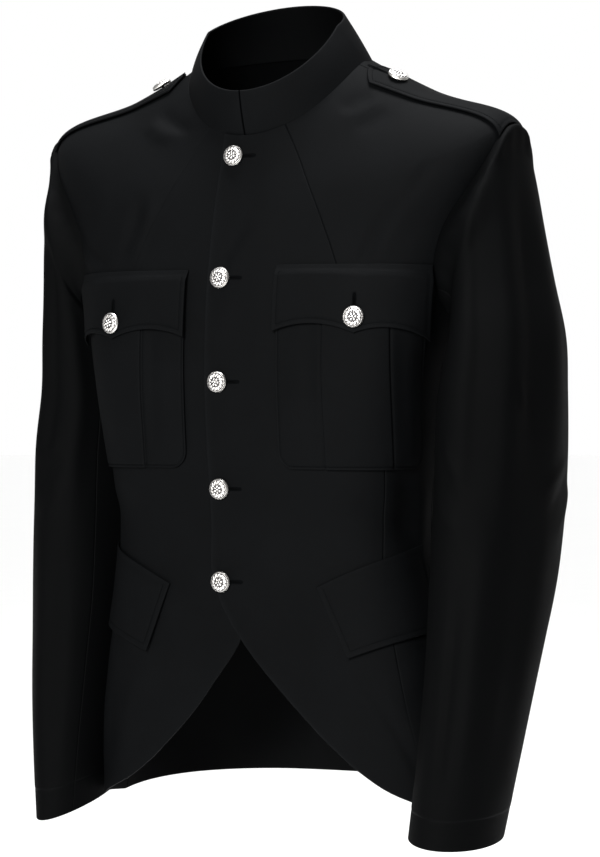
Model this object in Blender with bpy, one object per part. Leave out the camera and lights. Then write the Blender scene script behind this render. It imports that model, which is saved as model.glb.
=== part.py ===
"""A military tunic worn by no one: fronts, back, two-piece sleeves, stand collar, shoulder straps, pockets, buttons.

Metres, +Z up, the front faces -Y and +X is the wearer's left. The origin lies between the shoulders,
level with the sides of the neck, where a wearer's shoulders would carry the garment.
"""

import math

import bpy
import numpy as np

CLOTH = 0.0016          # thickness of the body and sleeve cloth
SEAM = 0.0003           # gap kept between two pieces that are sewn together
LAP_GAP = 0.0007        # gap between two pieces that lie flat on each other
LAP_END = 0.062         # where the left front comes back to the body's surface, from the middle
LAP_RAMP = 0.038        # over how long a stretch it does so
BUTTON_RADIUS = 0.0095

# Rings round the body from the hem up to the neck seam, in metres.
# half: half width; shift: sideways sway; front, side, back: Y; z_*: heights there;
# n_front, n_back: how square the outline is; drop: how the height falls from the side to the front and back.
RING_COLUMNS = ("half", "shift", "front", "side", "back", "z_front", "z_side", "z_back", "n_front", "n_back", "drop")
BODY_RINGS = {
    "hem":     (0.177, 0.003, -0.070, 0.012, 0.118, -0.662, -0.667, -0.651, 3.6, 2.4, 1.0),
    "skirt":   (0.175, 0.003, -0.074, 0.012, 0.117, -0.605, -0.605, -0.598, 3.6, 2.4, 1.0),
    "hip":     (0.168, 0.003, -0.080, 0.010, 0.113, -0.545, -0.545, -0.540, 3.6, 2.4, 1.0),
    "belt":    (0.156, 0.002, -0.085, 0.008, 0.106, -0.475, -0.475, -0.475, 3.3, 2.4, 1.0),
    "waist":   (0.151, 0.000, -0.088, 0.006, 0.102, -0.415, -0.415, -0.415, 3.2, 2.4, 1.0),
    "ribs":    (0.158, 0.000, -0.094, 0.008, 0.110, -0.345, -0.345, -0.345, 3.6, 2.4, 1.0),
    "chest":   (0.167, 0.000, -0.098, 0.010, 0.119, -0.275, -0.278, -0.275, 4.0, 2.4, 1.0),
    "armpit":  (0.178, 0.000, -0.096, 0.010, 0.122, -0.215, -0.232, -0.205, 3.6, 2.4, 1.4),
    "scye":    (0.200, 0.000, -0.089, 0.009, 0.120, -0.165, -0.150, -0.135, 2.9, 2.4, 1.8),
    "tip":     (0.2300, 0.000, -0.080, 0.005, 0.108, -0.120, -0.0615, -0.068, 2.4, 2.1, 1.9),
    "slope":   (0.147, 0.000, -0.072, 0.002, 0.086, -0.090, -0.0300, -0.018, 2.2, 2.2, 1.8),
    "neck":    (0.0868, 0.000, -0.0675, -0.002, 0.063, -0.067, 0.001, 0.012, 2.1, 2.1, 1.5),
}

RING_SAMPLES = 361      # points along half a ring

# The armhole, as a round hole about the side line: how far it reaches forwards and backwards along the ring.
ARMHOLE_FRONT = 0.060
ARMHOLE_BACK = 0.064
ARMHOLE_STEPS = 12
ARMHOLE_TAPER = {False: 0.18, True: 0.30}   # how much narrower its top is than its foot, in front and behind

# The front edges, by height: how far the left and the right one lie from the middle along the cloth.
FRONT_EDGES = {
    "neck":        (-0.067, -0.021, -0.017),
    "chest":       (-0.200, -0.023, -0.018),
    "ribs":        (-0.330, -0.0235, -0.018),
    "waist":       (-0.415, -0.022, -0.018),
    "last button": (-0.460, -0.0235, -0.018),
    "turn":        (-0.497, -0.010, -0.010),
    "crossing":    (-0.522, 0.007, 0.002),
    "upper":       (-0.554, 0.034, 0.027),
    "middle":      (-0.584, 0.061, 0.052),
    "lower":       (-0.611, 0.089, 0.080),
    "bend":        (-0.633, 0.116, 0.106),
    "corner":      (-0.650, 0.145, 0.135),
    "hem":         (-0.662, 0.179, 0.169),
}

SKIRT_ROWS = (-0.662, -0.656, -0.647, -0.634, -0.616, -0.595, -0.573, -0.550, -0.526)
SKIRT_TOP = -0.500

# Sections down each arm: centre (x, y, z), half sizes across and along Y, lean, the angle in degrees that
# the outside is raised by, and rise, how far the back is above the front.
ARM_COLUMNS = ("x", "y", "z", "half_x", "half_y", "lean", "rise")
LEFT_ARM = {
    "cap":     (0.2105, 0.007, -0.160, 0.079, 0.067, 71.5, 0.00),
    "head":    (0.2150, 0.007, -0.189, 0.063, 0.073, 62.0, 0.00),
    "scye":    (0.2205, 0.006, -0.221, 0.048, 0.080, 44.0, 0.00),
    "armpit":  (0.2245, 0.003, -0.256, 0.046, 0.085, 22.0, 0.00),
    "biceps":  (0.2245, -0.001, -0.297, 0.048, 0.087, 6.0, 0.00),
    "upper":   (0.2225, 0.000, -0.358, 0.049, 0.087, 0.0, 0.00),
    "elbow":   (0.2215, -0.008, -0.430, 0.049, 0.083, 0.0, 0.00),
    "forearm": (0.2212, -0.020, -0.482, 0.047, 0.077, -1.0, 0.03),
    "mid":     (0.2204, -0.040, -0.550, 0.043, 0.066, -3.0, 0.06),
    "wrist":   (0.2163, -0.053, -0.612, 0.040, 0.060, -5.0, 0.09),
    "cuff":    (0.2085, -0.063, -0.682, 0.038, 0.053, -6.0, 0.12),
}
RIGHT_ARM = {
    "cap":     (0.2090, 0.010, -0.159, 0.079, 0.065, 71.5, 0.00),
    "head":    (0.2100, 0.017, -0.187, 0.063, 0.069, 61.0, 0.00),
    "scye":    (0.2105, 0.025, -0.219, 0.047, 0.074, 43.0, 0.00),
    "armpit":  (0.2115, 0.032, -0.254, 0.041, 0.079, 20.0, 0.00),
    "biceps":  (0.2110, 0.037, -0.295, 0.043, 0.083, 5.0, 0.00),
    "upper":   (0.2122, 0.030, -0.358, 0.047, 0.084, 0.0, 0.00),
    "elbow":   (0.2100, 0.022, -0.430, 0.047, 0.083, 0.0, 0.00),
    "forearm": (0.2100, 0.016, -0.482, 0.045, 0.078, -1.0, 0.03),
    "mid":     (0.2120, 0.006, -0.550, 0.040, 0.069, -3.0, 0.08),
    "wrist":   (0.2085, -0.008, -0.610, 0.034, 0.064, -6.0, 0.15),
    "cuff":    (0.2035, -0.022, -0.674, 0.027, 0.058, -9.0, 0.26),
}
ARMHOLE_INSET = 0.0020      # from the armhole's edge to the middle of the sleeve cloth
HEAD_INSET = 0.0014
HEAD_ROLL = 0.0040          # how far the sleeve stands up from the armhole before it turns down
SLEEVE_RADIUS = 0.055
SLEEVE_HEAD_ROWS = (0, 0.006, 0.02, 0.045, 0.075)      # shares of the sleeve's length, close together by the armhole
FOREARM_SEAM = 135.0        # angles of the sleeve's two seams, from the outside round by the front
HINDARM_SEAM = 240.0

# The top of the stand collar, as a ring like those of the body.
COLLAR_TOP = (0.067, 0.000, -0.0785, -0.0175, 0.0435, -0.0275, 0.0327, 0.0585, 2.0, 2.0, 1.0)
COLLAR_CLOTH = 0.0024
COLLAR_BULGE = 0.0012
COLLAR_GAP = 0.0012     # between its two ends, at the button line

# Pieces laid on the body: reach from the middle along the cloth, and heights.
BUTTON_HEIGHTS = (-0.086, -0.195, -0.287, -0.382, -0.465)
BUTTON_REACHES = (-0.0075, -0.0085, -0.009, -0.0105, -0.014)
POCKET_REACH = {1: 0.1235, -1: 0.1190}
POCKET_INNER = 0.0745        # half widths from the pleat to the front edge and to the armhole
POCKET_OUTER = 0.0670
POCKET_TOP = -0.198
POCKET_BOTTOM = -0.364
POCKET_CORNER = 0.016
PLEAT_HALF = 0.0295
PLEAT_RAISE = 0.0014
PLEAT_FOLD = 0.0006         # half the width of the step at a pleat's edge
PUFF = 0.0022
POCKET_LIFT = 0.0010
FLAP_TOP = {1: -0.184, -1: -0.188}
FLAP_INNER = 0.0765
FLAP_OUTER = 0.0665
FLAP_LIFT = 0.0011
FLAP_CLEAR = 0.0009         # room between a flap and the pocket under it
FLAP_STAND = 0.0018         # how far the flap's lower edge stands away
FLAP_DEPTH = 0.0610
FLAP_SCALLOP = 0.0075
FLAP_BUTTON_DROP = 0.047
FLAP_ROWS = (0, 0.06, 0.14, 0.24, 0.45, 0.72, 1.0)      # shares of its depth
FLAP_ROLL = 0.20            # share of its depth over which it climbs onto the pocket

# Corners of the slanted hip flaps: reach and height; the left one lies a little further round.
HIP_FLAP = {
    "inner top":    (0.074, -0.468),
    "outer top":    (0.180, -0.431),
    "inner bottom": (0.102, -0.530),
    "outer bottom": (0.194, -0.506),
}
HIP_FLAP_SWAY = 0.005
HIP_FLAP_BOW = 0.006
HIP_FLAP_LIFT = 0.0009
HIP_FLAP_STAND = 0.0022

STRAP_CLOTH = 0.0022
STRAP_LIFT = 0.0012
STRAP_HALF_OUTER = 0.0245
STRAP_HALF_INNER = 0.0205
STRAP_POINT = 0.010
STRAP_BLUNT = 1.6           # 1 for a straight-sided point, more for a rounder one
STRAP_SLEEVE_GAP = 0.0016
STRAP_COLLAR_GAP = 0.007
STRAP_BUTTON = 0.020        # from the point of the strap

# The button's outline from the middle of its back to the middle of its front: radius and height shares.
BUTTON_OUTLINE = (
    (0.62, 0.00), (0.95, 0.10), (1.00, 0.28), (0.86, 0.52), (0.55, 0.86), (0.24, 0.98),
)
BUTTON_HEIGHT = 0.0054
BUTTON_STEPS = 16

BLACK_CLOTH = ("black_cloth", (0.012, 0.013, 0.017), 0.85, 0.0)
SILVER = ("silver", (0.82, 0.80, 0.76), 0.28, 1.0)


def material(kind):
    """A Principled material by name, colour, roughness and metallic value, made once."""
    name, colour, roughness, metallic = kind
    made = bpy.data.materials.get(name)
    if made is None:
        made = bpy.data.materials.new(name)
        made.use_nodes = True
        shader = made.node_tree.nodes["Principled BSDF"]
        shader.inputs["Base Color"].default_value = (*colour, 1.0)
        shader.inputs["Roughness"].default_value = roughness
        shader.inputs["Metallic"].default_value = metallic
    return made


def add_object(name, points, faces, kind):
    """One named object from points and faces, shaded smooth but for its sharp rims."""
    mesh = bpy.data.meshes.new(name)
    mesh.from_pydata([tuple(p) for p in points], [], faces)
    mesh.update()
    mesh.shade_smooth()
    mesh.set_sharp_from_angle(angle=math.radians(40))
    mesh.materials.append(material(kind))
    made = bpy.data.objects.new(name, mesh)
    bpy.context.scene.collection.objects.link(made)
    return made


def hermite(knots, values, t):
    """A smooth curve through values at knots, read at t: cubic pieces with slopes from the neighbours."""
    knots = np.asarray(knots, float)
    values = np.asarray(values, float)
    steps = np.diff(knots)
    slopes = np.diff(values, axis=0) / steps.reshape((-1,) + (1,) * (values.ndim - 1))
    tangents = np.empty_like(values)
    tangents[0] = slopes[0]
    tangents[-1] = slopes[-1]
    before = steps[:-1].reshape((-1,) + (1,) * (values.ndim - 1))
    after = steps[1:].reshape((-1,) + (1,) * (values.ndim - 1))
    tangents[1:-1] = (slopes[:-1] * after + slopes[1:] * before) / (before + after)
    return knots, values, tangents, np.asarray(t, float)


def read_hermite(curve):
    """The points of a hermite curve at its own list of t."""
    knots, values, tangents, t = curve
    i = np.clip(np.searchsorted(knots, t, side="right") - 1, 0, len(knots) - 2)
    step = knots[i + 1] - knots[i]
    u = (t - knots[i]) / step
    shape = u.shape + (1,) * (values.ndim - 1)
    u, step = u.reshape(shape), step.reshape(shape)
    return blend_pieces(u, step, values[i], values[i + 1], tangents[i], tangents[i + 1])


def blend_pieces(u, step, start, end, start_slope, end_slope):
    """One cubic piece between two values with a slope at each end."""
    u2, u3 = u * u, u * u * u
    return (
        (2 * u3 - 3 * u2 + 1) * start
        + (u3 - 2 * u2 + u) * step * start_slope
        + (3 * u2 - 2 * u3) * end
        + (u3 - u2) * step * end_slope
    )


def through(table, column_in, column_out, where):
    """The value of one column of a table where another column has the given value, on a smooth curve."""
    rows = sorted((row[column_in], row[column_out]) for row in table.values())
    knots, values = zip(*rows)
    return read_hermite(hermite(knots, values, np.clip(where, knots[0], knots[-1])))


def ring_outline(row):
    """Half a ring, from the front middle round the side to the back middle, evenly spaced along its length."""
    r = dict(zip(RING_COLUMNS, row))
    angle = np.linspace(0, math.pi, 1441)
    ahead = np.cos(angle) > 0
    power = 2 / np.where(ahead, r["n_front"], r["n_back"])
    reach = np.abs(np.cos(angle)) ** power
    x = r["half"] * np.abs(np.sin(angle)) ** power
    y = r["side"] + reach * np.where(ahead, r["front"] - r["side"], r["back"] - r["side"])
    fall = reach ** r["drop"]
    z = r["z_side"] + fall * np.where(ahead, r["z_front"] - r["z_side"], r["z_back"] - r["z_side"])
    line = np.stack([x, y, z], axis=1)
    along = np.concatenate([[0], np.cumsum(np.linalg.norm(np.diff(line, axis=0), axis=1))])
    even = np.linspace(0, along[-1], RING_SAMPLES)
    return np.stack([np.interp(even, along, line[:, k]) for k in range(3)], axis=1), along[-1]


class Body:
    """The outside of the worn body cloth, as a surface over two ways: round the ring and up the garment.

    round: 0 at the front middle, 0.5 near the side, 1 at the back middle; below 0 it runs on past the middle.
    up: a length from the hem, 0, to the neck seam, Body.top.
    """

    def __init__(self):
        outlines = [ring_outline(row) for row in BODY_RINGS.values()]
        rings = np.array([line for line, _ in outlines])
        self.shifts = np.array([row[RING_COLUMNS.index("shift")] for row in BODY_RINGS.values()])
        lifts = np.linalg.norm(np.diff(rings, axis=0), axis=2).mean(axis=1)
        self.knots = np.concatenate([[0], np.cumsum(lifts)])
        self.top = self.knots[-1]
        self.lengths = np.array([length for _, length in outlines])
        _, self.rings, self.slopes, _ = hermite(self.knots, rings, 0.0)
        self.names = list(BODY_RINGS)

    def knot(self, name):
        """The way up at which a named ring lies."""
        return self.knots[self.names.index(name)]

    def point(self, around, up):
        """Points of the surface, on the wearer's left for a place round above 0."""
        around, up = np.broadcast_arrays(np.asarray(around, float), np.asarray(up, float))
        up = np.clip(up, 0, self.top)
        i = np.clip(np.searchsorted(self.knots, up, side="right") - 1, 0, len(self.knots) - 2)
        place = np.clip(np.abs(around), 0, 1) * (RING_SAMPLES - 1)
        j = np.clip(place.astype(int), 0, RING_SAMPLES - 2)
        share = (place - j)[..., None]
        step = (self.knots[i + 1] - self.knots[i])[..., None]
        u = (up - self.knots[i])[..., None] / step

        def read(grid, ring):
            return grid[ring, j] * (1 - share) + grid[ring, j + 1] * share

        found = blend_pieces(
            u, step, read(self.rings, i), read(self.rings, i + 1), read(self.slopes, i), read(self.slopes, i + 1)
        )
        found[..., 0] *= np.where(around < 0, -1, 1)
        return found

    def normal(self, around, up):
        """The way out of the cloth, from points a little to each side."""
        d_round, d_up = 0.006, 0.004
        up = np.clip(up, d_up, self.top - d_up)
        across = self.point(around + d_round, up) - self.point(around - d_round, up)
        along = self.point(around, up + d_up) - self.point(around, up - d_up)
        n = np.cross(across, along)
        return n / np.linalg.norm(n, axis=-1, keepdims=True)

    def length(self, up):
        """Length of the half ring, front middle to back middle, at this way up."""
        return read_hermite(hermite(self.knots, self.lengths, up))

    def shift(self, up):
        """The sideways sway at this way up."""
        return read_hermite(hermite(self.knots, self.shifts, up))

    def up_at(self, height, around=0.0):
        """The way up where the line at this place round the ring passes a height."""
        ups = np.linspace(0, self.top, 400)
        return np.interp(height, self.point(np.full(400, around), ups)[:, 2], ups)


BODY = Body()


def cloth(side, around, up, lift):
    """Points on the body cloth moved out along its normal; side is 1 for the wearer's left, -1 for the right."""
    around, up = np.broadcast_arrays(np.asarray(around, float), np.asarray(up, float))
    moved = BODY.point(around, up) + BODY.normal(around, up) * np.asarray(lift)[..., None]
    moved[..., 0] = moved[..., 0] * side + BODY.shift(up)
    return moved


def wall(name, outer, inner, flip=False):
    """A thin closed solid of cloth between two grids of points, rows by columns; flip turns its faces over."""
    rows, cols = outer.shape[:2]
    points = np.concatenate([outer.reshape(-1, 3), inner.reshape(-1, 3)])
    offset = rows * cols
    faces = []

    def quad(a, b, c, d):
        faces.append((a, d, c, b) if flip else (a, b, c, d))

    for i in range(rows - 1):
        for j in range(cols - 1):
            a, b = i * cols + j, i * cols + j + 1
            c, d = b + cols, a + cols
            quad(a, b, c, d)
            quad(offset + a, offset + d, offset + c, offset + b)
    for j in range(cols - 1):
        low, high = (rows - 1) * cols + j, (rows - 1) * cols + j + 1
        quad(offset + j, offset + j + 1, j + 1, j)
        quad(low, high, offset + high, offset + low)
    for i in range(rows - 1):
        a, d = i * cols, (i + 1) * cols
        b, c = a + cols - 1, d + cols - 1
        quad(a, d, offset + d, offset + a)
        quad(b, offset + b, offset + c, c)
    return add_object(name, points, faces, BLACK_CLOTH)


ARMHOLE_LOW = BODY.knot("armpit")
ARMHOLE_HIGH = BODY.knot("tip")


def armhole(turn, back):
    """The armhole's edge as (round, up). turn is 0 at the shoulder tip and pi at the armpit."""
    middle = (ARMHOLE_LOW + ARMHOLE_HIGH) / 2
    up = middle + (ARMHOLE_HIGH - ARMHOLE_LOW) / 2 * np.cos(turn)
    reach = (ARMHOLE_BACK if back else -ARMHOLE_FRONT) * np.sin(turn) ** 0.9
    low_share = 1 - ARMHOLE_TAPER[back] * np.cos(turn)
    return 0.5 + reach * low_share / BODY.length(up), up


def panel_rows():
    """The ways up of the rows that every body panel shares: skirt, side, armhole and shoulder."""
    skirt = BODY.up_at(np.array(SKIRT_ROWS))
    side = np.linspace(BODY.up_at(SKIRT_TOP), ARMHOLE_LOW, 11)
    turns = np.linspace(math.pi, 0, ARMHOLE_STEPS + 1)
    hole = armhole(turns, False)[1]
    shoulder = np.linspace(ARMHOLE_HIGH, BODY.top, 8)
    return np.concatenate([skirt, side[:-1], hole[:-1], shoulder])


def side_limit(up, back):
    """Where a panel ends at its side: the side seam, the armhole or the shoulder seam."""
    turns = np.linspace(0, math.pi, 200)
    around, ups = armhole(turns, back)
    hole = np.interp(up, ups[::-1], around[::-1])
    gap = SEAM / 2 / BODY.length(up)
    inside = (up > ARMHOLE_LOW) & (up < ARMHOLE_HIGH) & (np.abs(hole - 0.5) > gap)
    return np.where(inside, hole, 0.5 + (gap if back else -gap))


def front_edge(up, side):
    """Where a front's edge lies round the ring: past the button line above, cut away to the hem below."""
    z = BODY.point(np.zeros_like(up), up)[:, 2]
    away = through(FRONT_EDGES, 0, 1 if side > 0 else 2, z)
    return away / BODY.length(up)


def make_front(name, side, over):
    """One front. The wearer's left lies over the right, so it is moved out where the two lap."""
    rows = panel_rows()
    edge = front_edge(rows, side)
    end = side_limit(rows, False)
    cols = np.linspace(0, 1, 12)[None, :]
    seam = 0.5 - SEAM / 2 / BODY.length(rows)
    around = edge[:, None] * (1 - cols) + seam[:, None] * cols + (end - seam)[:, None] * cols**3
    up = np.repeat(rows[:, None], around.shape[1], axis=1)
    if over:
        reach = around * BODY.length(up)
        lap = np.clip((LAP_END - reach) / LAP_RAMP, 0, 1)
        lift = (CLOTH + LAP_GAP) * lap * lap * (3 - 2 * lap)
    else:
        lift = np.zeros_like(around)
    return wall(name, cloth(side, around, up, lift), cloth(side, around, up, lift - CLOTH), flip=side < 0)


def make_back(name):
    """The back, from the right side seam, armhole and shoulder seam to the left ones."""
    rows = panel_rows()
    limit = side_limit(rows, True)
    cols = np.linspace(-1, 1, 21)[None, :]
    seam = 0.5 + SEAM / 2 / BODY.length(rows)
    around = 1 - (1 - seam)[:, None] * np.abs(cols) + (limit - seam)[:, None] * np.abs(cols) ** 3
    side = np.where(cols < 0, -1.0, 1.0) * np.ones_like(around)
    up = np.repeat(rows[:, None], around.shape[1], axis=1)
    zero = np.zeros_like(around)
    outer, inner = cloth(side, around, up, zero), cloth(side, around, up, zero - CLOTH)
    return wall(name, outer, inner, flip=True)


def arm_rings(side, angles):
    """Rings of the sleeve's middle surface, from the armhole seam to the cuff, at these angles round the arm.

    An angle of 0 is the shoulder tip and the outside of the arm, 90 degrees its front, 180 the armpit and inside.
    """
    turn = np.where(angles <= math.pi, angles, 2 * math.pi - angles)
    back = angles > math.pi
    around = np.where(back, armhole(turn, True)[0], armhole(turn, False)[0])
    up = armhole(turn, False)[1]
    seat = BODY.point(around, up)
    out = BODY.normal(around, up)
    low, high = armhole(math.pi, False), armhole(0.0, False)
    middle = (BODY.point(*low) + BODY.point(*high)) / 2
    inward = middle - seat
    inward -= (inward * out).sum(axis=1, keepdims=True) * out
    inward /= np.linalg.norm(inward, axis=1, keepdims=True)
    rings = [seat + inward * ARMHOLE_INSET - out * CLOTH / 2, seat + inward * HEAD_INSET + out * HEAD_ROLL]
    for row in (LEFT_ARM if side > 0 else RIGHT_ARM).values():
        s = dict(zip(ARM_COLUMNS, row))
        lean = math.radians(s["lean"])
        across = np.array([math.cos(lean), 0, math.sin(lean)])
        forwards = np.array([0, -1, -s["rise"]])
        centre = np.array([s["x"], s["y"], s["z"]])
        rings.append(
            centre
            + s["half_x"] * np.cos(angles)[:, None] * across
            + s["half_y"] * np.sin(angles)[:, None] * forwards
        )
    return np.array(rings)


def sleeve_surface(side, angles, rows):
    """Points of the sleeve's middle surface, rows from 0 at the armhole to 1 at the cuff."""
    whole = arm_rings(side, np.linspace(0, 2 * math.pi, 25)[:-1])
    knots = np.concatenate([[0], np.cumsum(np.linalg.norm(np.diff(whole, axis=0), axis=2).mean(axis=1))])
    return read_hermite(hermite(knots, arm_rings(side, angles), rows * knots[-1]))


def make_sleeve_part(name, side, first, last, steps):
    """A stretch of the sleeve between two seams, given by their angles in degrees."""
    gap = math.degrees(SEAM / 2 / SLEEVE_RADIUS)
    degrees = np.linspace(first, last, steps + 1)
    degrees[0] += gap
    degrees[-1] -= gap
    angles = np.radians(degrees)
    rows = np.concatenate([SLEEVE_HEAD_ROWS, np.linspace(0.11, 1, 15)])
    step = math.radians(1.0)
    grid = sleeve_surface(side, np.mod(angles, 2 * math.pi), rows)
    ahead = sleeve_surface(side, np.mod(angles + step, 2 * math.pi), rows)
    behind = sleeve_surface(side, np.mod(angles - step, 2 * math.pi), rows)
    tiny = 0.003
    later = sleeve_surface(side, np.mod(angles, 2 * math.pi), np.clip(rows + tiny, 0, 1))
    earlier = sleeve_surface(side, np.mod(angles, 2 * math.pi), np.clip(rows - tiny, 0, 1))
    out = np.cross(later - earlier, ahead - behind)
    out /= np.linalg.norm(out, axis=2, keepdims=True)
    outer, inner = grid + out * CLOTH / 2, grid - out * CLOTH / 2
    for layer in (outer, inner):
        layer[..., 0] *= side
    return wall(name, outer, inner, flip=side > 0)


def make_collar():
    """The stand collar, a band on the neck seam from one front end round the back to the other."""
    top, _ = ring_outline(COLLAR_TOP)
    share = np.linspace(0, 1, RING_SAMPLES)
    start = COLLAR_GAP / 2 / BODY.length(BODY.top)
    half = np.linspace(start, 1, 21)
    base = BODY.point(half, np.full(21, BODY.top))
    rim = np.stack([np.interp(half, share, top[:, k]) for k in range(3)], axis=1)
    levels = np.linspace(0, 1, 5)
    climb = rim - base
    climb_length = np.linalg.norm(climb, axis=1, keepdims=True)
    foot = base + climb / climb_length * 2 * SEAM
    bulge = COLLAR_BULGE * np.sin(math.pi * levels)[:, None, None]
    face = foot[None] * (1 - levels[:, None, None]) + rim[None] * levels[:, None, None]
    along = np.gradient(face, axis=1)
    rise = np.gradient(face, axis=0)
    out = np.cross(along, rise)
    out /= np.linalg.norm(out, axis=2, keepdims=True)
    outer = face + out * bulge
    inner = outer - out * COLLAR_CLOTH
    full = []
    for layer in (outer, inner):
        mirrored = layer[:, ::-1].copy()
        mirrored[..., 0] *= -1
        full.append(np.concatenate([layer, mirrored[:, 1:]], axis=1))
    return wall("collar", full[0], full[1])


def piece_points(side, reach, z, lift, centre):
    """Points on a piece laid on the body: reach along the ring, height read on the line of the piece's centre."""
    up = BODY.up_at(z, centre)
    return cloth(side, reach / BODY.length(up), up, lift)


def line_place(reach, z):
    """The share of the ring at which a piece with this reach and height has its centre line."""
    up = BODY.up_at(z, 0.3)
    return float(reach / BODY.length(up))


def pocket_lift(p, drop):
    """How far the outside of a chest pocket stands off the body: pleat and a slight pouch."""
    pleat = PLEAT_RAISE * np.clip((PLEAT_HALF + PLEAT_FOLD - np.abs(p)) / (2 * PLEAT_FOLD), 0, 1)
    across = np.clip(1 - (p / POCKET_OUTER) ** 2, 0, 1)
    return POCKET_LIFT + CLOTH + pleat + PUFF * across * np.sin(math.pi * np.clip(drop, 0, 1)) ** 1.2


def make_pocket(name, side):
    """A chest pocket with rounded lower corners and a box pleat down its middle."""
    length = POCKET_TOP - POCKET_BOTTOM
    corner_rows = 1 - POCKET_CORNER / length * np.array([0.94, 0.72, 0.5, 0.3, 0.13, 0.0])
    rows = np.concatenate([np.linspace(0, 0.875, 8), corner_rows])
    depth = length * (1 - rows)
    below = np.clip(POCKET_CORNER - depth, 0, None)
    inset = POCKET_CORNER - np.sqrt(np.clip(POCKET_CORNER**2 - below**2, 0, None))
    edge = PLEAT_HALF + PLEAT_FOLD
    flat = PLEAT_HALF - PLEAT_FOLD
    outside = np.array([1.0, 0.66, 0.33])
    middle = [-edge, -flat, -flat / 3, flat / 3, flat, edge]
    grid = np.array([
        np.concatenate([
            -(edge + (POCKET_INNER - i - edge) * outside),
            middle,
            (edge + (POCKET_OUTER - i - edge) * outside)[::-1],
        ])
        for i in inset
    ])
    z = POCKET_TOP + (POCKET_BOTTOM - POCKET_TOP) * rows[:, None] + np.zeros_like(grid)
    centre = line_place(POCKET_REACH[side], (POCKET_TOP + POCKET_BOTTOM) / 2)
    reach = POCKET_REACH[side] + grid
    outer_lift = pocket_lift(grid, rows[:, None])
    pleat = PLEAT_RAISE * (np.abs(grid) <= flat + 1e-6)
    outer = piece_points(side, reach, z, outer_lift, centre)
    inner = piece_points(side, reach, z, outer_lift - CLOTH - pleat, centre)
    return wall(name, outer, inner, flip=side > 0)


def make_chest_flap(name, side):
    """The flap over a chest pocket, its lower edge in two hollow curves that meet in a point."""
    cols = np.linspace(-1, 1, 17)
    rows = np.array(FLAP_ROWS)
    depth = FLAP_DEPTH - FLAP_SCALLOP * np.sin(math.pi * np.abs(cols)) ** 0.8
    p = cols * np.where(cols < 0, FLAP_INNER, FLAP_OUTER)
    z = FLAP_TOP[side] - depth[None, :] * rows[:, None]
    reach = POCKET_REACH[side] + np.repeat(p[None, :], len(rows), axis=0)
    centre = line_place(POCKET_REACH[side], (POCKET_TOP + POCKET_BOTTOM) / 2)
    rise = np.clip(rows / FLAP_ROLL, 0, 1)[:, None]
    over_pocket = PLEAT_RAISE + CLOTH + FLAP_CLEAR
    inner_lift = FLAP_LIFT + over_pocket * rise * rise * (3 - 2 * rise) + FLAP_STAND * rows[:, None] ** 1.5
    inner_lift = inner_lift + np.zeros_like(reach)
    outer = piece_points(side, reach, z, inner_lift + CLOTH, centre)
    inner = piece_points(side, reach, z, inner_lift, centre)
    return wall(name, outer, inner, flip=side > 0)


def flap_lift(share):
    """How far the outside of a chest flap stands off the body at this share of its depth, below its top roll."""
    return FLAP_LIFT + PLEAT_RAISE + 2 * CLOTH + FLAP_CLEAR + FLAP_STAND * share**1.5


def make_hip_flap(name, side):
    """The slanted flap on the hip, with a lower edge that bows a little."""
    cols = np.linspace(0, 1, 12)[None, :, None]
    rows = np.linspace(0, 1, 6)[:, None, None]
    corner = {key: np.array(value) for key, value in HIP_FLAP.items()}
    top = corner["inner top"] * (1 - cols) + corner["outer top"] * cols
    low = corner["inner bottom"] * (1 - cols) + corner["outer bottom"] * cols
    flat = top * (1 - rows) + low * rows
    bow = HIP_FLAP_BOW * np.sin(math.pi * cols[..., 0])
    reach = flat[..., 0] + side * HIP_FLAP_SWAY
    z = flat[..., 1] + bow * (0.7 - 0.2 * rows[..., 0])
    lift = HIP_FLAP_LIFT + HIP_FLAP_STAND * rows[..., 0] ** 0.8 + np.zeros_like(reach)
    centre = line_place(float(reach.mean()), float(z.mean()))
    outer = piece_points(side, reach, z, lift + CLOTH, centre)
    inner = piece_points(side, reach, z, lift, centre)
    return wall(name, outer, inner, flip=side > 0)


def strap_grid(rows, cols):
    """Ways (round, up) over a shoulder strap: rows from the sleeve seam to its point, cols across it."""
    turns = np.linspace(0, math.pi / 2, 60)
    ends = []
    for back in (False, True):
        around, up = armhole(turns, back)
        ends.append((np.abs(around - 0.5) * BODY.length(up), up))
    outer = STRAP_HALF_OUTER * cols
    start = np.where(cols > 0, np.interp(outer, *ends[1]), np.interp(-outer, *ends[0])) + STRAP_SLEEVE_GAP
    tip = BODY.top - STRAP_COLLAR_GAP - STRAP_POINT * np.abs(cols) ** STRAP_BLUNT
    up = start[None, :] * (1 - rows[:, None]) + tip[None, :] * rows[:, None]
    half = STRAP_HALF_OUTER * (1 - rows[:, None]) + STRAP_HALF_INNER * rows[:, None]
    return 0.5 + half * cols[None, :] / BODY.length(up), up


def make_strap(name, side):
    """A shoulder strap from the sleeve head seam to a blunt point by the collar."""
    rows = np.linspace(0, 1, 11)
    cols = np.linspace(-1, 1, 9)
    around, up = strap_grid(rows, cols)
    lift = STRAP_LIFT + np.zeros_like(up)
    outer = cloth(side, around, up, lift + STRAP_CLOTH)
    inner = cloth(side, around, up, lift)
    return wall(name, outer, inner, flip=side < 0)


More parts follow.
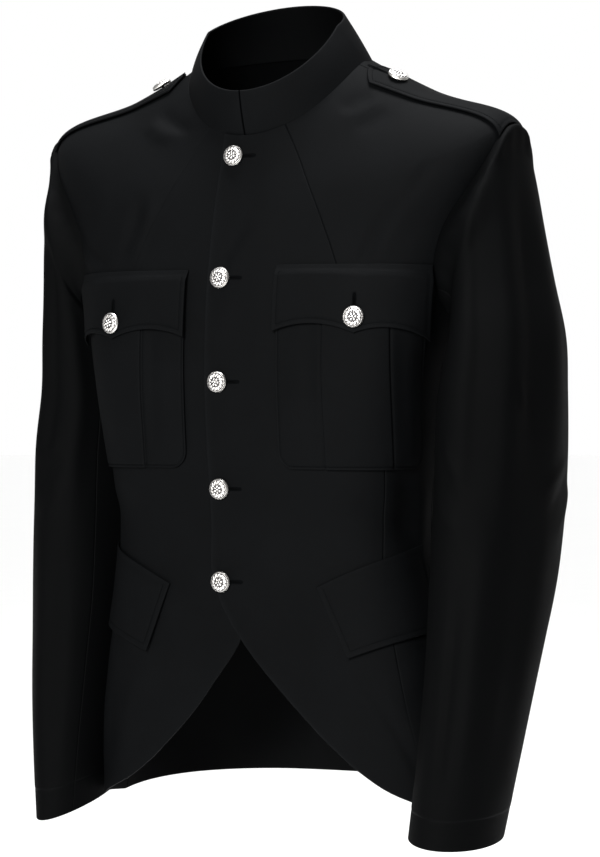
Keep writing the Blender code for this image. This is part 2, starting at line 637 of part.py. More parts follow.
def make_button(name, centre, out):
    """A domed metal button whose back faces the cloth at centre, along the direction out."""
    out = out / np.linalg.norm(out)
    across = np.cross([0, 0, 1.0], out)
    across /= np.linalg.norm(across)
    upwards = np.cross(out, across)
    angles = np.arange(BUTTON_STEPS) * 2 * math.pi / BUTTON_STEPS
    points = [centre]
    for share, height in BUTTON_OUTLINE:
        ring = np.cos(angles)[:, None] * across + np.sin(angles)[:, None] * upwards
        points.extend(centre + ring * BUTTON_RADIUS * share + out * BUTTON_HEIGHT * height)
    points.append(centre + out * BUTTON_HEIGHT)
    faces = []
    last = len(points) - 1
    rings = len(BUTTON_OUTLINE)
    for j in range(BUTTON_STEPS):
        k = (j + 1) % BUTTON_STEPS
        faces.append((0, 1 + k, 1 + j))
        faces.append((last, last - BUTTON_STEPS + j, last - BUTTON_STEPS + k))
        for i in range(rings - 1):
            a, b = 1 + i * BUTTON_STEPS, 1 + (i + 1) * BUTTON_STEPS
            faces.append((a + j, a + k, b + k, b + j))
    return add_object(name, points, faces, SILVER)


def button_on(name, side, reach, z, centre, lift):
    """A button seated on the body cloth or on a piece that stands this far off it."""
    up = BODY.up_at(z, centre)
    around = reach / BODY.length(up)
    place = cloth(side, around, up, lift + LAP_GAP)
    out = BODY.normal(around, up) * np.array([side, 1, 1])
    return make_button(name, place, out)


def main():
    for old in list(bpy.data.objects):
        bpy.data.objects.remove(old)
    make_front("left_front", 1, True)
    make_front("right_front", -1, False)
    make_back("back")
    make_collar()
    for side, label in ((1, "left"), (-1, "right")):
        make_sleeve_part(f"{label}_top_sleeve", side, HINDARM_SEAM - 360, FOREARM_SEAM, 17)
        make_sleeve_part(f"{label}_under_sleeve", side, FOREARM_SEAM, HINDARM_SEAM, 7)
        make_pocket(f"{label}_chest_pocket", side)
        make_chest_flap(f"{label}_chest_flap", side)
        make_hip_flap(f"{label}_hip_flap", side)
        make_strap(f"{label}_shoulder_strap", side)
        centre = line_place(POCKET_REACH[side], (POCKET_TOP + POCKET_BOTTOM) / 2)
        share = FLAP_BUTTON_DROP / FLAP_DEPTH
        button_on(
            f"{label}_flap_button", side, POCKET_REACH[side], FLAP_TOP[side] - FLAP_BUTTON_DROP, centre, flap_lift(share)
        )
        up = BODY.top - STRAP_COLLAR_GAP - STRAP_BUTTON
        place = cloth(side, 0.5, up, STRAP_LIFT + STRAP_CLOTH + LAP_GAP)
        make_button(f"{label}_strap_button", place, BODY.normal(0.5, up) * np.array([side, 1, 1]))
    for number, (reach, z) in enumerate(zip(BUTTON_REACHES, BUTTON_HEIGHTS), start=1):
        button_on(f"front_button_{number}", 1, reach, z, 0.0, CLOTH + LAP_GAP)


if __name__ == "__main__":
    main()
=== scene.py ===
"""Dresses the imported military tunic: worn wool with folds, seams, stitching, buttonholes and struck buttons.

Laid out as an add-on and run as a script. Every shape is a surface worked out from the tables below, in
metres, +Z up, with the front facing -Y and the wearer's left at +X. A place on the body cloth is given as the
reach along the cloth from the front or back middle, positive on the wearer's left, and a height.
"""

import math

import bpy
import numpy as np
from bpy.props import FloatProperty, FloatVectorProperty, PointerProperty
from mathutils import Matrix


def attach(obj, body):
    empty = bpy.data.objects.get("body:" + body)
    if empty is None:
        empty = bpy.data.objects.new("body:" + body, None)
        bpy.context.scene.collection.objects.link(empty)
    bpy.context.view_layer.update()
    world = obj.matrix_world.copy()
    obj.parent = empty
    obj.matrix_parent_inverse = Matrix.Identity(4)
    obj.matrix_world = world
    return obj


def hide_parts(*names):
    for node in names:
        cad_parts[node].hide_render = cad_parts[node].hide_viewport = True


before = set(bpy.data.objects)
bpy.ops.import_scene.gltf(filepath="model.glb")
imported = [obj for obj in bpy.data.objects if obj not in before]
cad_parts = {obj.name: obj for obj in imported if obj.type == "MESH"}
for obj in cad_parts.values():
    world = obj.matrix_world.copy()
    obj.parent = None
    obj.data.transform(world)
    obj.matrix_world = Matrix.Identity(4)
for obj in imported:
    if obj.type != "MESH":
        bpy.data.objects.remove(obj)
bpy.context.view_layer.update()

bl_info = {
    "name": "Military Tunic",
    "version": (1, 0, 0),
    "blender": (4, 5, 0),
    "location": "View3D > Sidebar > Tunic",
    "description": "Builds the cloth, stitching and buttons of a worn military tunic round its packed frame",
    "category": "Object",
}

CLOTH = 0.0016
SEAM = 0.0001               # sewn seams close tighter than the solids' gaps
LAP_GAP = 0.0007
LAP_END = 0.062
LAP_RAMP = 0.038

# Rings round the body from the hem up to the neck seam.
# half: half width; shift: sideways sway; front, side, back: Y; z_*: heights there;
# n_front, n_back: how square the outline is; drop: how the height falls from the side to the front and back.
RING_COLUMNS = (
    "half", "shift", "front", "side", "back", "z_front", "z_side", "z_back", "n_front", "n_back", "drop",
)
BODY_RINGS = {
    "hem":     (0.177, 0.003, -0.070, 0.012, 0.118, -0.662, -0.667, -0.651, 3.6, 2.4, 1.0),
    "skirt":   (0.175, 0.003, -0.074, 0.012, 0.117, -0.605, -0.605, -0.598, 3.6, 2.4, 1.0),
    "hip":     (0.168, 0.003, -0.080, 0.010, 0.113, -0.545, -0.545, -0.540, 3.6, 2.4, 1.0),
    "belt":    (0.156, 0.002, -0.085, 0.008, 0.106, -0.475, -0.475, -0.475, 3.3, 2.4, 1.0),
    "waist":   (0.151, 0.000, -0.088, 0.006, 0.102, -0.415, -0.415, -0.415, 3.2, 2.4, 1.0),
    "ribs":    (0.158, 0.000, -0.094, 0.008, 0.110, -0.345, -0.345, -0.345, 3.6, 2.4, 1.0),
    "chest":   (0.167, 0.000, -0.098, 0.010, 0.119, -0.275, -0.278, -0.275, 4.0, 2.4, 1.0),
    "armpit":  (0.178, 0.000, -0.096, 0.010, 0.122, -0.215, -0.232, -0.205, 3.6, 2.4, 1.4),
    "scye":    (0.200, 0.000, -0.089, 0.009, 0.120, -0.165, -0.150, -0.135, 2.9, 2.4, 1.8),
    "tip":     (0.2300, 0.000, -0.080, 0.005, 0.108, -0.120, -0.0615, -0.068, 2.4, 2.1, 1.9),
    "slope":   (0.147, 0.000, -0.072, 0.002, 0.086, -0.090, -0.0300, -0.018, 2.2, 2.2, 1.8),
    "neck":    (0.0868, 0.000, -0.0675, -0.002, 0.063, -0.067, 0.001, 0.012, 2.1, 2.1, 1.5),
}
RING_SAMPLES = 361

ARMHOLE_FRONT = 0.060
ARMHOLE_BACK = 0.064
ARMHOLE_TAPER = {False: 0.18, True: 0.30}

# The front edges, by height: how far the left and the right one lie from the middle along the cloth.
FRONT_EDGES = {
    "neck":        (-0.067, -0.021, -0.017),
    "chest":       (-0.200, -0.023, -0.018),
    "ribs":        (-0.330, -0.0235, -0.018),
    "waist":       (-0.415, -0.022, -0.018),
    "last button": (-0.460, -0.0235, -0.018),
    "turn":        (-0.497, -0.010, -0.010),
    "crossing":    (-0.522, 0.007, 0.002),
    "upper":       (-0.554, 0.034, 0.027),
    "middle":      (-0.584, 0.061, 0.052),
    "lower":       (-0.611, 0.089, 0.080),
    "bend":        (-0.633, 0.116, 0.106),
    "corner":      (-0.650, 0.145, 0.135),
    "hem":         (-0.662, 0.179, 0.169),
}

# The neck dart and the waist dart below it, by height: reach from the front middle.
DART = {
    "collar":      (-0.058, 0.0405),
    "upper chest": (-0.091, 0.0580),
    "chest":       (-0.136, 0.0820),
    "flap":        (-0.185, 0.1040),
    "pocket":      (-0.280, 0.1350),
    "pocket foot": (-0.364, 0.1460),
    "waist":       (-0.409, 0.1430),
    "hip flap":    (-0.454, 0.1400),
    "under flap":  (-0.533, 0.1500),
    "skirt":       (-0.606, 0.1640),
    "hem":         (-0.664, 0.1830),
}

# Sections down each arm: centre (x, y, z), half sizes across and along Y, lean, the angle in degrees that
# the outside is raised by, and rise, how far the back is above the front.
ARM_COLUMNS = ("x", "y", "z", "half_x", "half_y", "lean", "rise")
LEFT_ARM = {
    "cap":     (0.2105, 0.007, -0.160, 0.079, 0.067, 71.5, 0.00),
    "head":    (0.2150, 0.007, -0.189, 0.063, 0.073, 62.0, 0.00),
    "scye":    (0.2205, 0.006, -0.221, 0.048, 0.080, 44.0, 0.00),
    "armpit":  (0.2245, 0.003, -0.256, 0.046, 0.085, 22.0, 0.00),
    "biceps":  (0.2245, -0.001, -0.297, 0.048, 0.087, 6.0, 0.00),
    "upper":   (0.2225, 0.000, -0.358, 0.049, 0.087, 0.0, 0.00),
    "elbow":   (0.2215, -0.008, -0.430, 0.049, 0.083, 0.0, 0.00),
    "forearm": (0.2212, -0.020, -0.482, 0.047, 0.077, -1.0, 0.03),
    "mid":     (0.2204, -0.040, -0.550, 0.043, 0.066, -3.0, 0.06),
    "wrist":   (0.2163, -0.053, -0.612, 0.040, 0.060, -5.0, 0.09),
    "cuff":    (0.2085, -0.063, -0.682, 0.038, 0.053, -6.0, 0.12),
}
RIGHT_ARM = {
    "cap":     (0.2090, 0.010, -0.159, 0.079, 0.065, 71.5, 0.00),
    "head":    (0.2100, 0.017, -0.187, 0.063, 0.069, 61.0, 0.00),
    "scye":    (0.2105, 0.025, -0.219, 0.047, 0.074, 43.0, 0.00),
    "armpit":  (0.2115, 0.032, -0.254, 0.041, 0.079, 20.0, 0.00),
    "biceps":  (0.2110, 0.037, -0.295, 0.043, 0.083, 5.0, 0.00),
    "upper":   (0.2122, 0.030, -0.358, 0.047, 0.084, 0.0, 0.00),
    "elbow":   (0.2100, 0.022, -0.430, 0.047, 0.083, 0.0, 0.00),
    "forearm": (0.2100, 0.016, -0.482, 0.045, 0.078, -1.0, 0.03),
    "mid":     (0.2120, 0.006, -0.550, 0.040, 0.069, -3.0, 0.08),
    "wrist":   (0.2085, -0.008, -0.610, 0.034, 0.064, -6.0, 0.15),
    "cuff":    (0.2035, -0.022, -0.674, 0.027, 0.058, -9.0, 0.26),
}
ARMHOLE_INSET = 0.0004
HEAD_INSET = 0.0010
HEAD_ROLL = 0.0040
FOREARM_SEAM = 135.0
HINDARM_SEAM = 240.0
SLEEVE_RADIUS = 0.055
CUFF_HEM = 0.026            # depth of the cuff's turned-up hem

COLLAR_TOP = (0.067, 0.000, -0.0785, -0.0175, 0.0435, -0.0275, 0.0327, 0.0585, 2.0, 2.0, 1.0)
COLLAR_CLOTH = 0.0024
COLLAR_BULGE = 0.0012
COLLAR_GAP = 0.0012
COLLAR_HEIGHT = 0.040
COLLAR_TUCK = 0.0016        # how far its foot reaches past the neck seam

BUTTON_HEIGHTS = (-0.086, -0.195, -0.287, -0.382, -0.465)
BUTTON_REACHES = (-0.0075, -0.0085, -0.009, -0.0105, -0.014)
POCKET_REACH = {1: 0.1235, -1: 0.1190}
POCKET_INNER = 0.0745
POCKET_OUTER = 0.0670
POCKET_TOP = -0.198
POCKET_BOTTOM = -0.364
POCKET_CORNER = 0.016
PLEAT_HALF = 0.0295
PLEAT_RAISE = 0.0014
PUFF = 0.0022
POCKET_LIFT = 0.0010
FLAP_TOP = {1: -0.184, -1: -0.188}
FLAP_INNER = 0.0765
FLAP_OUTER = 0.0665
FLAP_LIFT = 0.0011
FLAP_CLEAR = 0.0009
FLAP_STAND = 0.0018
FLAP_DEPTH = 0.0610
FLAP_SCALLOP = 0.0075
FLAP_BUTTON_DROP = 0.047
FLAP_ROLL = 0.20
HIP_FLAP = {
    "inner top":    (0.074, -0.468),
    "outer top":    (0.180, -0.431),
    "inner bottom": (0.102, -0.530),
    "outer bottom": (0.194, -0.506),
}
HIP_FLAP_SWAY = 0.005
HIP_FLAP_BOW = 0.006
HIP_FLAP_LIFT = 0.0009
HIP_FLAP_STAND = 0.0022
HIP_FLAP_WAVE = 0.0005
HIP_FLAP_WIDE = 0.108
HIP_FLAP_DEEP = 0.070
STRAP_CLOTH = 0.0022
STRAP_LIFT = 0.0012
STRAP_HALF_OUTER = 0.0245
STRAP_HALF_INNER = 0.0205
STRAP_LONG = 0.125
STRAP_POINT = 0.010
STRAP_BLUNT = 1.6
STRAP_SLEEVE_GAP = 0.0016
STRAP_COLLAR_GAP = 0.007
STRAP_BUTTON = 0.020

# Folds of the fronts and of the back: both ends as reach and height, how far the line bows sideways,
# half width, and height of the ridge, or depth below 0.
FOLD_COLUMNS = ("from_reach", "from_z", "to_reach", "to_z", "bow", "width", "raise")
FRONT_FOLDS = (
    (0.160, -0.126, 0.124, -0.187, 0.003, 0.0065, -0.0024),
    (0.170, -0.118, 0.137, -0.180, 0.003, 0.0090, 0.0018),
    (0.190, -0.092, 0.160, -0.134, 0.002, 0.0060, -0.0014),
    (0.014, -0.150, -0.014, -0.193, 0.002, 0.0060, -0.0013),
    (0.026, -0.145, 0.000, -0.196, 0.002, 0.0080, 0.0011),
    (0.098, -0.046, 0.132, -0.032, 0.001, 0.0055, -0.0024),
    (0.104, -0.056, 0.142, -0.038, -0.002, 0.0060, 0.0016),
    (0.112, -0.064, 0.148, -0.048, 0.001, 0.0055, -0.0012),
    (0.172, -0.360, 0.166, -0.430, 0.002, 0.0130, -0.0038),
    (0.196, -0.380, 0.186, -0.440, 0.000, 0.0110, 0.0020),
    (0.105, -0.400, 0.180, -0.418, -0.004, 0.0120, -0.0012),
    (0.100, -0.384, 0.178, -0.398, -0.003, 0.0120, 0.0010),
    (0.108, -0.533, 0.173, -0.648, -0.004, 0.0050, -0.0010),
    (0.124, -0.536, 0.190, -0.640, -0.004, 0.0110, 0.0012),
    (0.050, -0.500, 0.066, -0.575, 0.003, 0.0120, 0.0008),
    (0.150, -0.575, 0.200, -0.590, 0.000, 0.0100, -0.0008),
    (-0.089, -0.122, -0.110, -0.184, -0.003, 0.0055, 0.0022),
    (-0.104, -0.120, -0.124, -0.182, -0.003, 0.0070, -0.0022),
    (-0.196, -0.150, -0.139, -0.181, 0.003, 0.0055, -0.0024),
    (-0.190, -0.166, -0.146, -0.186, 0.002, 0.0060, 0.0018),
    (-0.128, -0.050, -0.082, -0.067, 0.003, 0.0050, 0.0024),
    (-0.122, -0.040, -0.062, -0.062, 0.002, 0.0045, -0.0026),
    (-0.152, -0.094, -0.151, -0.168, -0.003, 0.0090, 0.0008),
    (-0.100, -0.398, -0.182, -0.412, 0.004, 0.0120, -0.0014),
    (-0.096, -0.380, -0.180, -0.392, 0.004, 0.0120, 0.0010),
    (-0.074, -0.500, -0.088, -0.580, 0.003, 0.0100, -0.0008),
    (-0.112, -0.550, -0.136, -0.640, 0.003, 0.0090, 0.0012),
    (-0.140, -0.556, -0.160, -0.640, 0.003, 0.0080, -0.0012),
    (-0.166, -0.560, -0.182, -0.650, 0.002, 0.0090, 0.0012),
)
BACK_FOLDS = (
    (0.060, -0.090, 0.170, -0.170, 0.006, 0.0120, 0.0014),
    (0.050, -0.120, 0.150, -0.205, 0.006, 0.0120, -0.0012),
    (-0.056, -0.096, -0.160, -0.168, -0.006, 0.0130, 0.0014),
    (-0.070, -0.126, -0.150, -0.196, -0.004, 0.0110, -0.0012),
    (-0.120, -0.392, 0.100, -0.384, 0.006, 0.0130, -0.0020),
    (-0.090, -0.412, 0.130, -0.418, -0.005, 0.0120, 0.0018),
    (-0.140, -0.428, 0.040, -0.440, 0.004, 0.0110, -0.0016),
    (-0.030, -0.445, 0.150, -0.436, 0.004, 0.0120, -0.0014),
    (-0.100, -0.365, 0.060, -0.360, -0.004, 0.0120, 0.0012),
    (0.120, -0.330, 0.190, -0.410, 0.006, 0.0100, -0.0016),
    (0.100, -0.335, 0.175, -0.425, 0.006, 0.0100, 0.0014),
    (-0.125, -0.325, -0.190, -0.405, -0.006, 0.0100, -0.0016),
    (-0.105, -0.330, -0.178, -0.422, -0.006, 0.0110, 0.0014),
    (0.020, -0.020, 0.060, -0.055, 0.002, 0.0080, -0.0010),
    (-0.018, -0.022, -0.064, -0.052, 0.002, 0.0080, -0.0010),
    (-0.062, -0.480, -0.070, -0.650, 0.004, 0.0140, 0.0026),
    (-0.030, -0.490, -0.034, -0.650, -0.003, 0.0130, -0.0024),
    (0.012, -0.480, 0.010, -0.650, 0.003, 0.0140, 0.0024),
    (0.050, -0.490, 0.054, -0.650, 0.003, 0.0130, -0.0024),
    (0.092, -0.480, 0.100, -0.650, 0.003, 0.0140, 0.0024),
    (-0.110, -0.500, -0.118, -0.650, 0.003, 0.0130, -0.0022),
    (-0.150, -0.500, -0.160, -0.650, 0.003, 0.0130, 0.0020),
    (0.140, -0.500, 0.150, -0.650, 0.003, 0.0130, -0.0020),
)

# Folds of each sleeve: both ends as the angle round the arm in degrees and the share of its length,
# bow in degrees, half width in metres, and raise.
SLEEVE_FOLD_COLUMNS = ("from_angle", "from_share", "to_angle", "to_share", "bow", "width", "raise")
LEFT_SLEEVE_FOLDS = (
    (66, 0.05, 76, 0.48, 2, 0.0110, 0.0030),
    (34, 0.045, 49, 0.50, 3, 0.0125, -0.0044),
    (5, 0.06, 26, 0.40, 4, 0.0110, 0.0034),
    (-14, 0.10, 2, 0.46, 4, 0.0120, -0.0026),
    (-42, 0.06, -24, 0.55, 4, 0.0150, 0.0014),
    (43, 0.285, 36, 0.325, 1, 0.0030, 0.0012),
    (38, 0.280, 31, 0.330, 1, 0.0035, -0.0012),
    (24, 0.30, 20, 0.37, 2, 0.0060, 0.0010),
    (84, 0.60, 86, 0.94, 3, 0.0070, 0.0026),
    (62, 0.52, 60, 0.90, 4, 0.0140, -0.0032),
    (28, 0.50, 22, 0.88, -3, 0.0130, 0.0018),
    (2, 0.46, 6, 0.80, 3, 0.0120, -0.0012),
    (-30, 0.40, 12, 0.455, 4, 0.0060, -0.0014),
    (-34, 0.43, 4, 0.490, 4, 0.0070, 0.0014),
    (-60, 0.44, -10, 0.520, 4, 0.0070, -0.0014),
    (108, 0.37, 84, 0.43, 4, 0.0060, -0.0016),
    (112, 0.42, 80, 0.465, 4, 0.0060, 0.0014),
    (120, 0.46, 86, 0.51, 3, 0.0060, -0.0014),
    (-75, 0.10, -86, 0.50, 4, 0.0140, 0.0020),
    (-98, 0.12, -104, 0.55, 4, 0.0130, -0.0020),
    (150, 0.10, 165, 0.50, 4, 0.0130, -0.0018),
    (190, 0.12, 196, 0.60, 4, 0.0130, 0.0018),
    (120, 0.06, 126, 0.34, 2, 0.0110, 0.0014),
    (220, 0.20, 226, 0.70, 3, 0.0110, -0.0014),
)
RIGHT_SLEEVE_FOLDS = (
    (86, 0.05, 80, 0.50, 3, 0.0110, 0.0030),
    (112, 0.12, 111, 0.50, 3, 0.0110, -0.0032),
    (64, 0.05, 62, 0.46, 3, 0.0120, -0.0030),
    (40, 0.06, 44, 0.56, 3, 0.0130, 0.0028),
    (12, 0.08, 16, 0.50, 3, 0.0130, -0.0018),
    (-20, 0.06, -12, 0.52, 3, 0.0140, 0.0018),
    (-50, 0.08, -44, 0.54, 3, 0.0140, -0.0018),
    (100, 0.55, 104, 0.92, 3, 0.0090, 0.0014),
    (78, 0.52, 74, 0.90, 3, 0.0120, -0.0016),
    (96, 0.38, 70, 0.42, 4, 0.0060, -0.0014),
    (102, 0.42, 66, 0.46, 4, 0.0070, 0.0014),
    (108, 0.47, 74, 0.51, 4, 0.0060, -0.0012),
    (28, 0.40, -16, 0.46, 4, 0.0070, -0.0014),
    (24, 0.44, -20, 0.50, 4, 0.0080, 0.0014),
    (-80, 0.10, -88, 0.50, 4, 0.0140, 0.0020),
    (-104, 0.12, -108, 0.55, 4, 0.0130, -0.0020),
    (152, 0.10, 162, 0.50, 4, 0.0130, -0.0018),
    (186, 0.12, 192, 0.60, 4, 0.0130, 0.0018),
    (222, 0.20, 224, 0.70, 3, 0.0110, -0.0014),
)


def smooth(share):
    """0 below 0, 1 above 1 and an S-shaped rise between."""
    share = np.clip(share, 0, 1)
    return share * share * (3 - 2 * share)


def bell(value, middle, width, power=2):
    """1 at the middle and falling away on both sides: e to the minus power of the distance in widths."""
    return np.exp(-(((value - middle) / width) ** power))


def hermite(knots, values, t):
    """A smooth curve through values at knots, read at t: cubic pieces whose slopes weigh the neighbours'."""
    knots, values, t = (np.asarray(a, float) for a in (knots, values, t))
    tail = (1,) * (values.ndim - 1)
    steps = np.diff(knots).reshape((-1,) + tail)
    slopes = np.diff(values, axis=0) / steps
    middle = (slopes[:-1] * steps[1:] + slopes[1:] * steps[:-1]) / (steps[:-1] + steps[1:])
    tangents = np.concatenate([slopes[:1], middle, slopes[-1:]])
    i = np.clip(np.searchsorted(knots, t, side="right") - 1, 0, len(knots) - 2)
    step = (knots[i + 1] - knots[i]).reshape(t.shape + tail)
    u = (t - knots[i]).reshape(t.shape + tail) / step
    return cubic(u, step, values[i], values[i + 1], tangents[i], tangents[i + 1])


def cubic(u, step, start, end, start_slope, end_slope):
    """One cubic piece between two values with a slope at each end."""
    u2, u3 = u * u, u * u * u
    return (
        (2 * u3 - 3 * u2 + 1) * start
        + (u3 - 2 * u2 + u) * step * start_slope
        + (3 * u2 - 2 * u3) * end
        + (u3 - u2) * step * end_slope
    )


def by_height(table, column, z):
    """One column of a table whose first column is a height, on a smooth curve."""
    knots, values = zip(*sorted((row[0], row[column]) for row in table.values()))
    return hermite(knots, values, np.clip(z, knots[0], knots[-1]))


def ring_outline(row):
    """Half a ring, front to back, evenly spaced: a superellipse whose height falls with its reach."""
    r = dict(zip(RING_COLUMNS, row))
    angle = np.linspace(0, math.pi, 1441)
    ahead = np.cos(angle) > 0
    power = 2 / np.where(ahead, r["n_front"], r["n_back"])
    reach = np.abs(np.cos(angle)) ** power
    x = r["half"] * np.abs(np.sin(angle)) ** power
    y = r["side"] + reach * np.where(ahead, r["front"] - r["side"], r["back"] - r["side"])
    z = r["z_side"] + reach ** r["drop"] * (np.where(ahead, r["z_front"], r["z_back"]) - r["z_side"])
    line = np.stack([x, y, z], axis=1)
    along = np.concatenate([[0], np.cumsum(np.linalg.norm(np.diff(line, axis=0), axis=1))])
    even = np.linspace(0, along[-1], RING_SAMPLES)
    return np.stack([np.interp(even, along, line[:, k]) for k in range(3)], axis=1), along[-1]


class Body:
    """The outside of the body cloth, as a surface over two ways: round the ring and up the garment.

    round: 0 at the front middle, 0.5 near the side, 1 at the back middle.
    up: a length from the hem to the neck seam.
    """

    def __init__(self):
        outlines = [ring_outline(row) for row in BODY_RINGS.values()]
        self.rings = np.array([line for line, _ in outlines])
        lifts = np.linalg.norm(np.diff(self.rings, axis=0), axis=2).mean(axis=1)
        self.knots = np.concatenate([[0], np.cumsum(lifts)])
        self.top = self.knots[-1]
        self.lengths = np.array([length for _, length in outlines])
        self.shifts = np.array([row[RING_COLUMNS.index("shift")] for row in BODY_RINGS.values()])
        self.names = list(BODY_RINGS)
        steps = np.diff(self.knots)[:, None, None]
        slopes = np.diff(self.rings, axis=0) / steps
        middle = (slopes[:-1] * steps[1:] + slopes[1:] * steps[:-1]) / (steps[:-1] + steps[1:])
        self.slopes = np.concatenate([slopes[:1], middle, slopes[-1:]])

    def knot(self, name):
        """The way up at which a named ring lies."""
        return self.knots[self.names.index(name)]

    def point(self, around, up):
        """Points of the surface, on the wearer's left for a place round above 0."""
        around, up = np.broadcast_arrays(np.asarray(around, float), np.asarray(up, float))
        up = np.clip(up, 0, self.top)
        i = np.clip(np.searchsorted(self.knots, up, side="right") - 1, 0, len(self.knots) - 2)
        place = np.clip(np.abs(around), 0, 1) * (RING_SAMPLES - 1)
        j = np.clip(place.astype(int), 0, RING_SAMPLES - 2)
        share = (place - j)[..., None]
        step = (self.knots[i + 1] - self.knots[i])[..., None]
        u = (up - self.knots[i])[..., None] / step

        def read(grid, ring):
            return grid[ring, j] * (1 - share) + grid[ring, j + 1] * share

        ends = (read(self.rings, i), read(self.rings, i + 1), read(self.slopes, i), read(self.slopes, i + 1))
        found = cubic(u, step, *ends)
        found[..., 0] *= np.where(around < 0, -1, 1)
        return found

    def normal(self, around, up):
        """The way out of the cloth, from points a little to each side."""
        d_round, d_up = 0.006, 0.004
        up = np.clip(up, d_up, self.top - d_up)
        across = self.point(around + d_round, up) - self.point(around - d_round, up)
        along = self.point(around, up + d_up) - self.point(around, up - d_up)
        n = np.cross(across, along)
        return n / np.linalg.norm(n, axis=-1, keepdims=True)

    def length(self, up):
        """Length of the half ring, front middle to back middle."""
        return hermite(self.knots, self.lengths, up)

    def shift(self, up):
        """The sideways sway."""
        return hermite(self.knots, self.shifts, up)

    def up_at(self, height, around=0.0):
        """The way up where the line at this place round the ring passes a height."""
        ups = np.linspace(0, self.top, 400)
        return np.interp(height, self.point(np.full(400, around), ups)[:, 2], ups)


BODY = Body()
ARMHOLE_LOW = BODY.knot("armpit")
ARMHOLE_HIGH = BODY.knot("tip")


def fold_field(folds, x, y, x_scale=1.0, y_scale=1.0):
    """Height of the folds at places (x, y): each is a ridge along a bowed line.

    Its profile is a bell, a third wider on its upper side, and it fades out smoothly towards both ends.
    """
    total = np.zeros(np.broadcast(x, y).shape)
    for x0, y0, x1, y1, bow, width, height in folds:
        ax, ay = x0 * x_scale, y0 * y_scale
        dx, dy = x1 * x_scale - ax, y1 * y_scale - ay
        length = math.hypot(dx, dy)
        px, py = x * x_scale - ax, y * y_scale - ay
        along = (px * dx + py * dy) / length**2
        off = (px * dy - py * dx) / length - bow * x_scale * 4 * along * (1 - along)
        wide = width * np.where(off > 0, 1.0, 1.35)
        ends = smooth((along + 0.15) / 0.45) * smooth((1.15 - along) / 0.45)
        total += height * bell(off, 0, wide) * ends
    return total


def ripple(x, y, size, seed):
    """A soft uneven swell between -1 and 1 over places (x, y): a sum of crossed sines of about this size."""
    draw = np.random.default_rng(seed)
    total = np.zeros(np.broadcast(x, y).shape)
    for _ in range(7):
        turn, phase = draw.uniform(0, math.pi), draw.uniform(0, 2 * math.pi)
        wave = 2 * math.pi / (size * draw.uniform(0.7, 1.6))
        total += np.sin(wave * (x * math.cos(turn) + y * math.sin(turn)) + phase)
    return total / 7


def drape(side, around, up):
    """How far folds and swells move the body cloth out: the front's and the back's, faded into each other."""
    length = BODY.length(up)
    z = BODY.point(around, up)[..., 2]
    front, back = side * around * length, side * (1 - around) * length
    share = smooth((around - 0.44) / 0.12)
    ahead = fold_field(FRONT_FOLDS, front, z) + 0.0004 * ripple(front, z, 0.07, 3)
    behind = fold_field(BACK_FOLDS, back, z) + 0.0005 * ripple(back, z, 0.08, 5)
    seams = smooth(up / 0.010) * 0.25 + 0.75
    neck = smooth((BODY.top - up) / 0.012)
    return (ahead * (1 - share) + behind * share) * seams * neck


def cloth(side, around, up, lift):
    """Points on the draped body cloth moved out along its normal; side is 1 on the wearer's left, else -1."""
    around, up = np.broadcast_arrays(np.asarray(around, float), np.asarray(up, float))
    out = BODY.normal(around, up)
    moved = BODY.point(around, up) + out * (np.asarray(lift) + drape(side, around, up))[..., None]
    moved[..., 0] = moved[..., 0] * side + BODY.shift(up)
    return moved


def armhole(turn, back):
    """The armhole's edge as (round, up), a lens about the side line; turn is 0 at the tip, pi at the armpit."""
    middle = (ARMHOLE_LOW + ARMHOLE_HIGH) / 2
    up = middle + (ARMHOLE_HIGH - ARMHOLE_LOW) / 2 * np.cos(turn)
    reach = (ARMHOLE_BACK if back else -ARMHOLE_FRONT) * np.abs(np.sin(turn)) ** 0.9
    low_share = 1 - ARMHOLE_TAPER[back] * np.cos(turn)
    return 0.5 + reach * low_share / BODY.length(up), up


def side_limit(up, back):
    """Where a panel ends at its side: the side seam, the armhole or the shoulder seam."""
    around, ups = armhole(np.linspace(0, math.pi, 400), back)
    hole = np.interp(up, ups[::-1], around[::-1])
    gap = SEAM / 2 / BODY.length(up)
    inside = (up > ARMHOLE_LOW) & (up < ARMHOLE_HIGH) & (np.abs(hole - 0.5) > gap)
    return np.where(inside, hole, 0.5 + (gap if back else -gap))


# Distances from a cut edge or a seam at which the grid has its first lines.
EDGE_STEPS = np.array([0.0, 0.00012, 0.0003, 0.00055, 0.0009, 0.0014, 0.0022, 0.0034])


def line_places(stops, counts):
    """Grid lines between stops, each an array of one value per row: fine steps by each stop, even between.

    Gives the places and, for each stop, every place's distance from it.
    """
    columns = []
    for start, end, count in zip(stops[:-1], stops[1:], counts):
        room = (end - start)[:, None]
        fine = np.minimum(EDGE_STEPS[None, :], room * np.linspace(0, 0.45, len(EDGE_STEPS))[None, :])
        share = np.linspace(0, 1, count + 2)[None, 1:-1]
        inner = fine[:, -1:] + (room - 2 * fine[:, -1:]) * share
        columns.append(start[:, None] + np.concatenate([fine, inner, (room - fine)[:, ::-1][:, :-1]], axis=1))
    columns.append(stops[-1][:, None])
    places = np.concatenate(columns, axis=1)
    return places, [np.abs(places - stop[:, None]) for stop in stops]


def roll(distance, radius):
    """How far a surface falls away near an edge, as a quarter circle of this radius."""
    return radius - np.sqrt(np.clip(radius**2 - np.clip(radius - distance, 0, None) ** 2, 0, None))


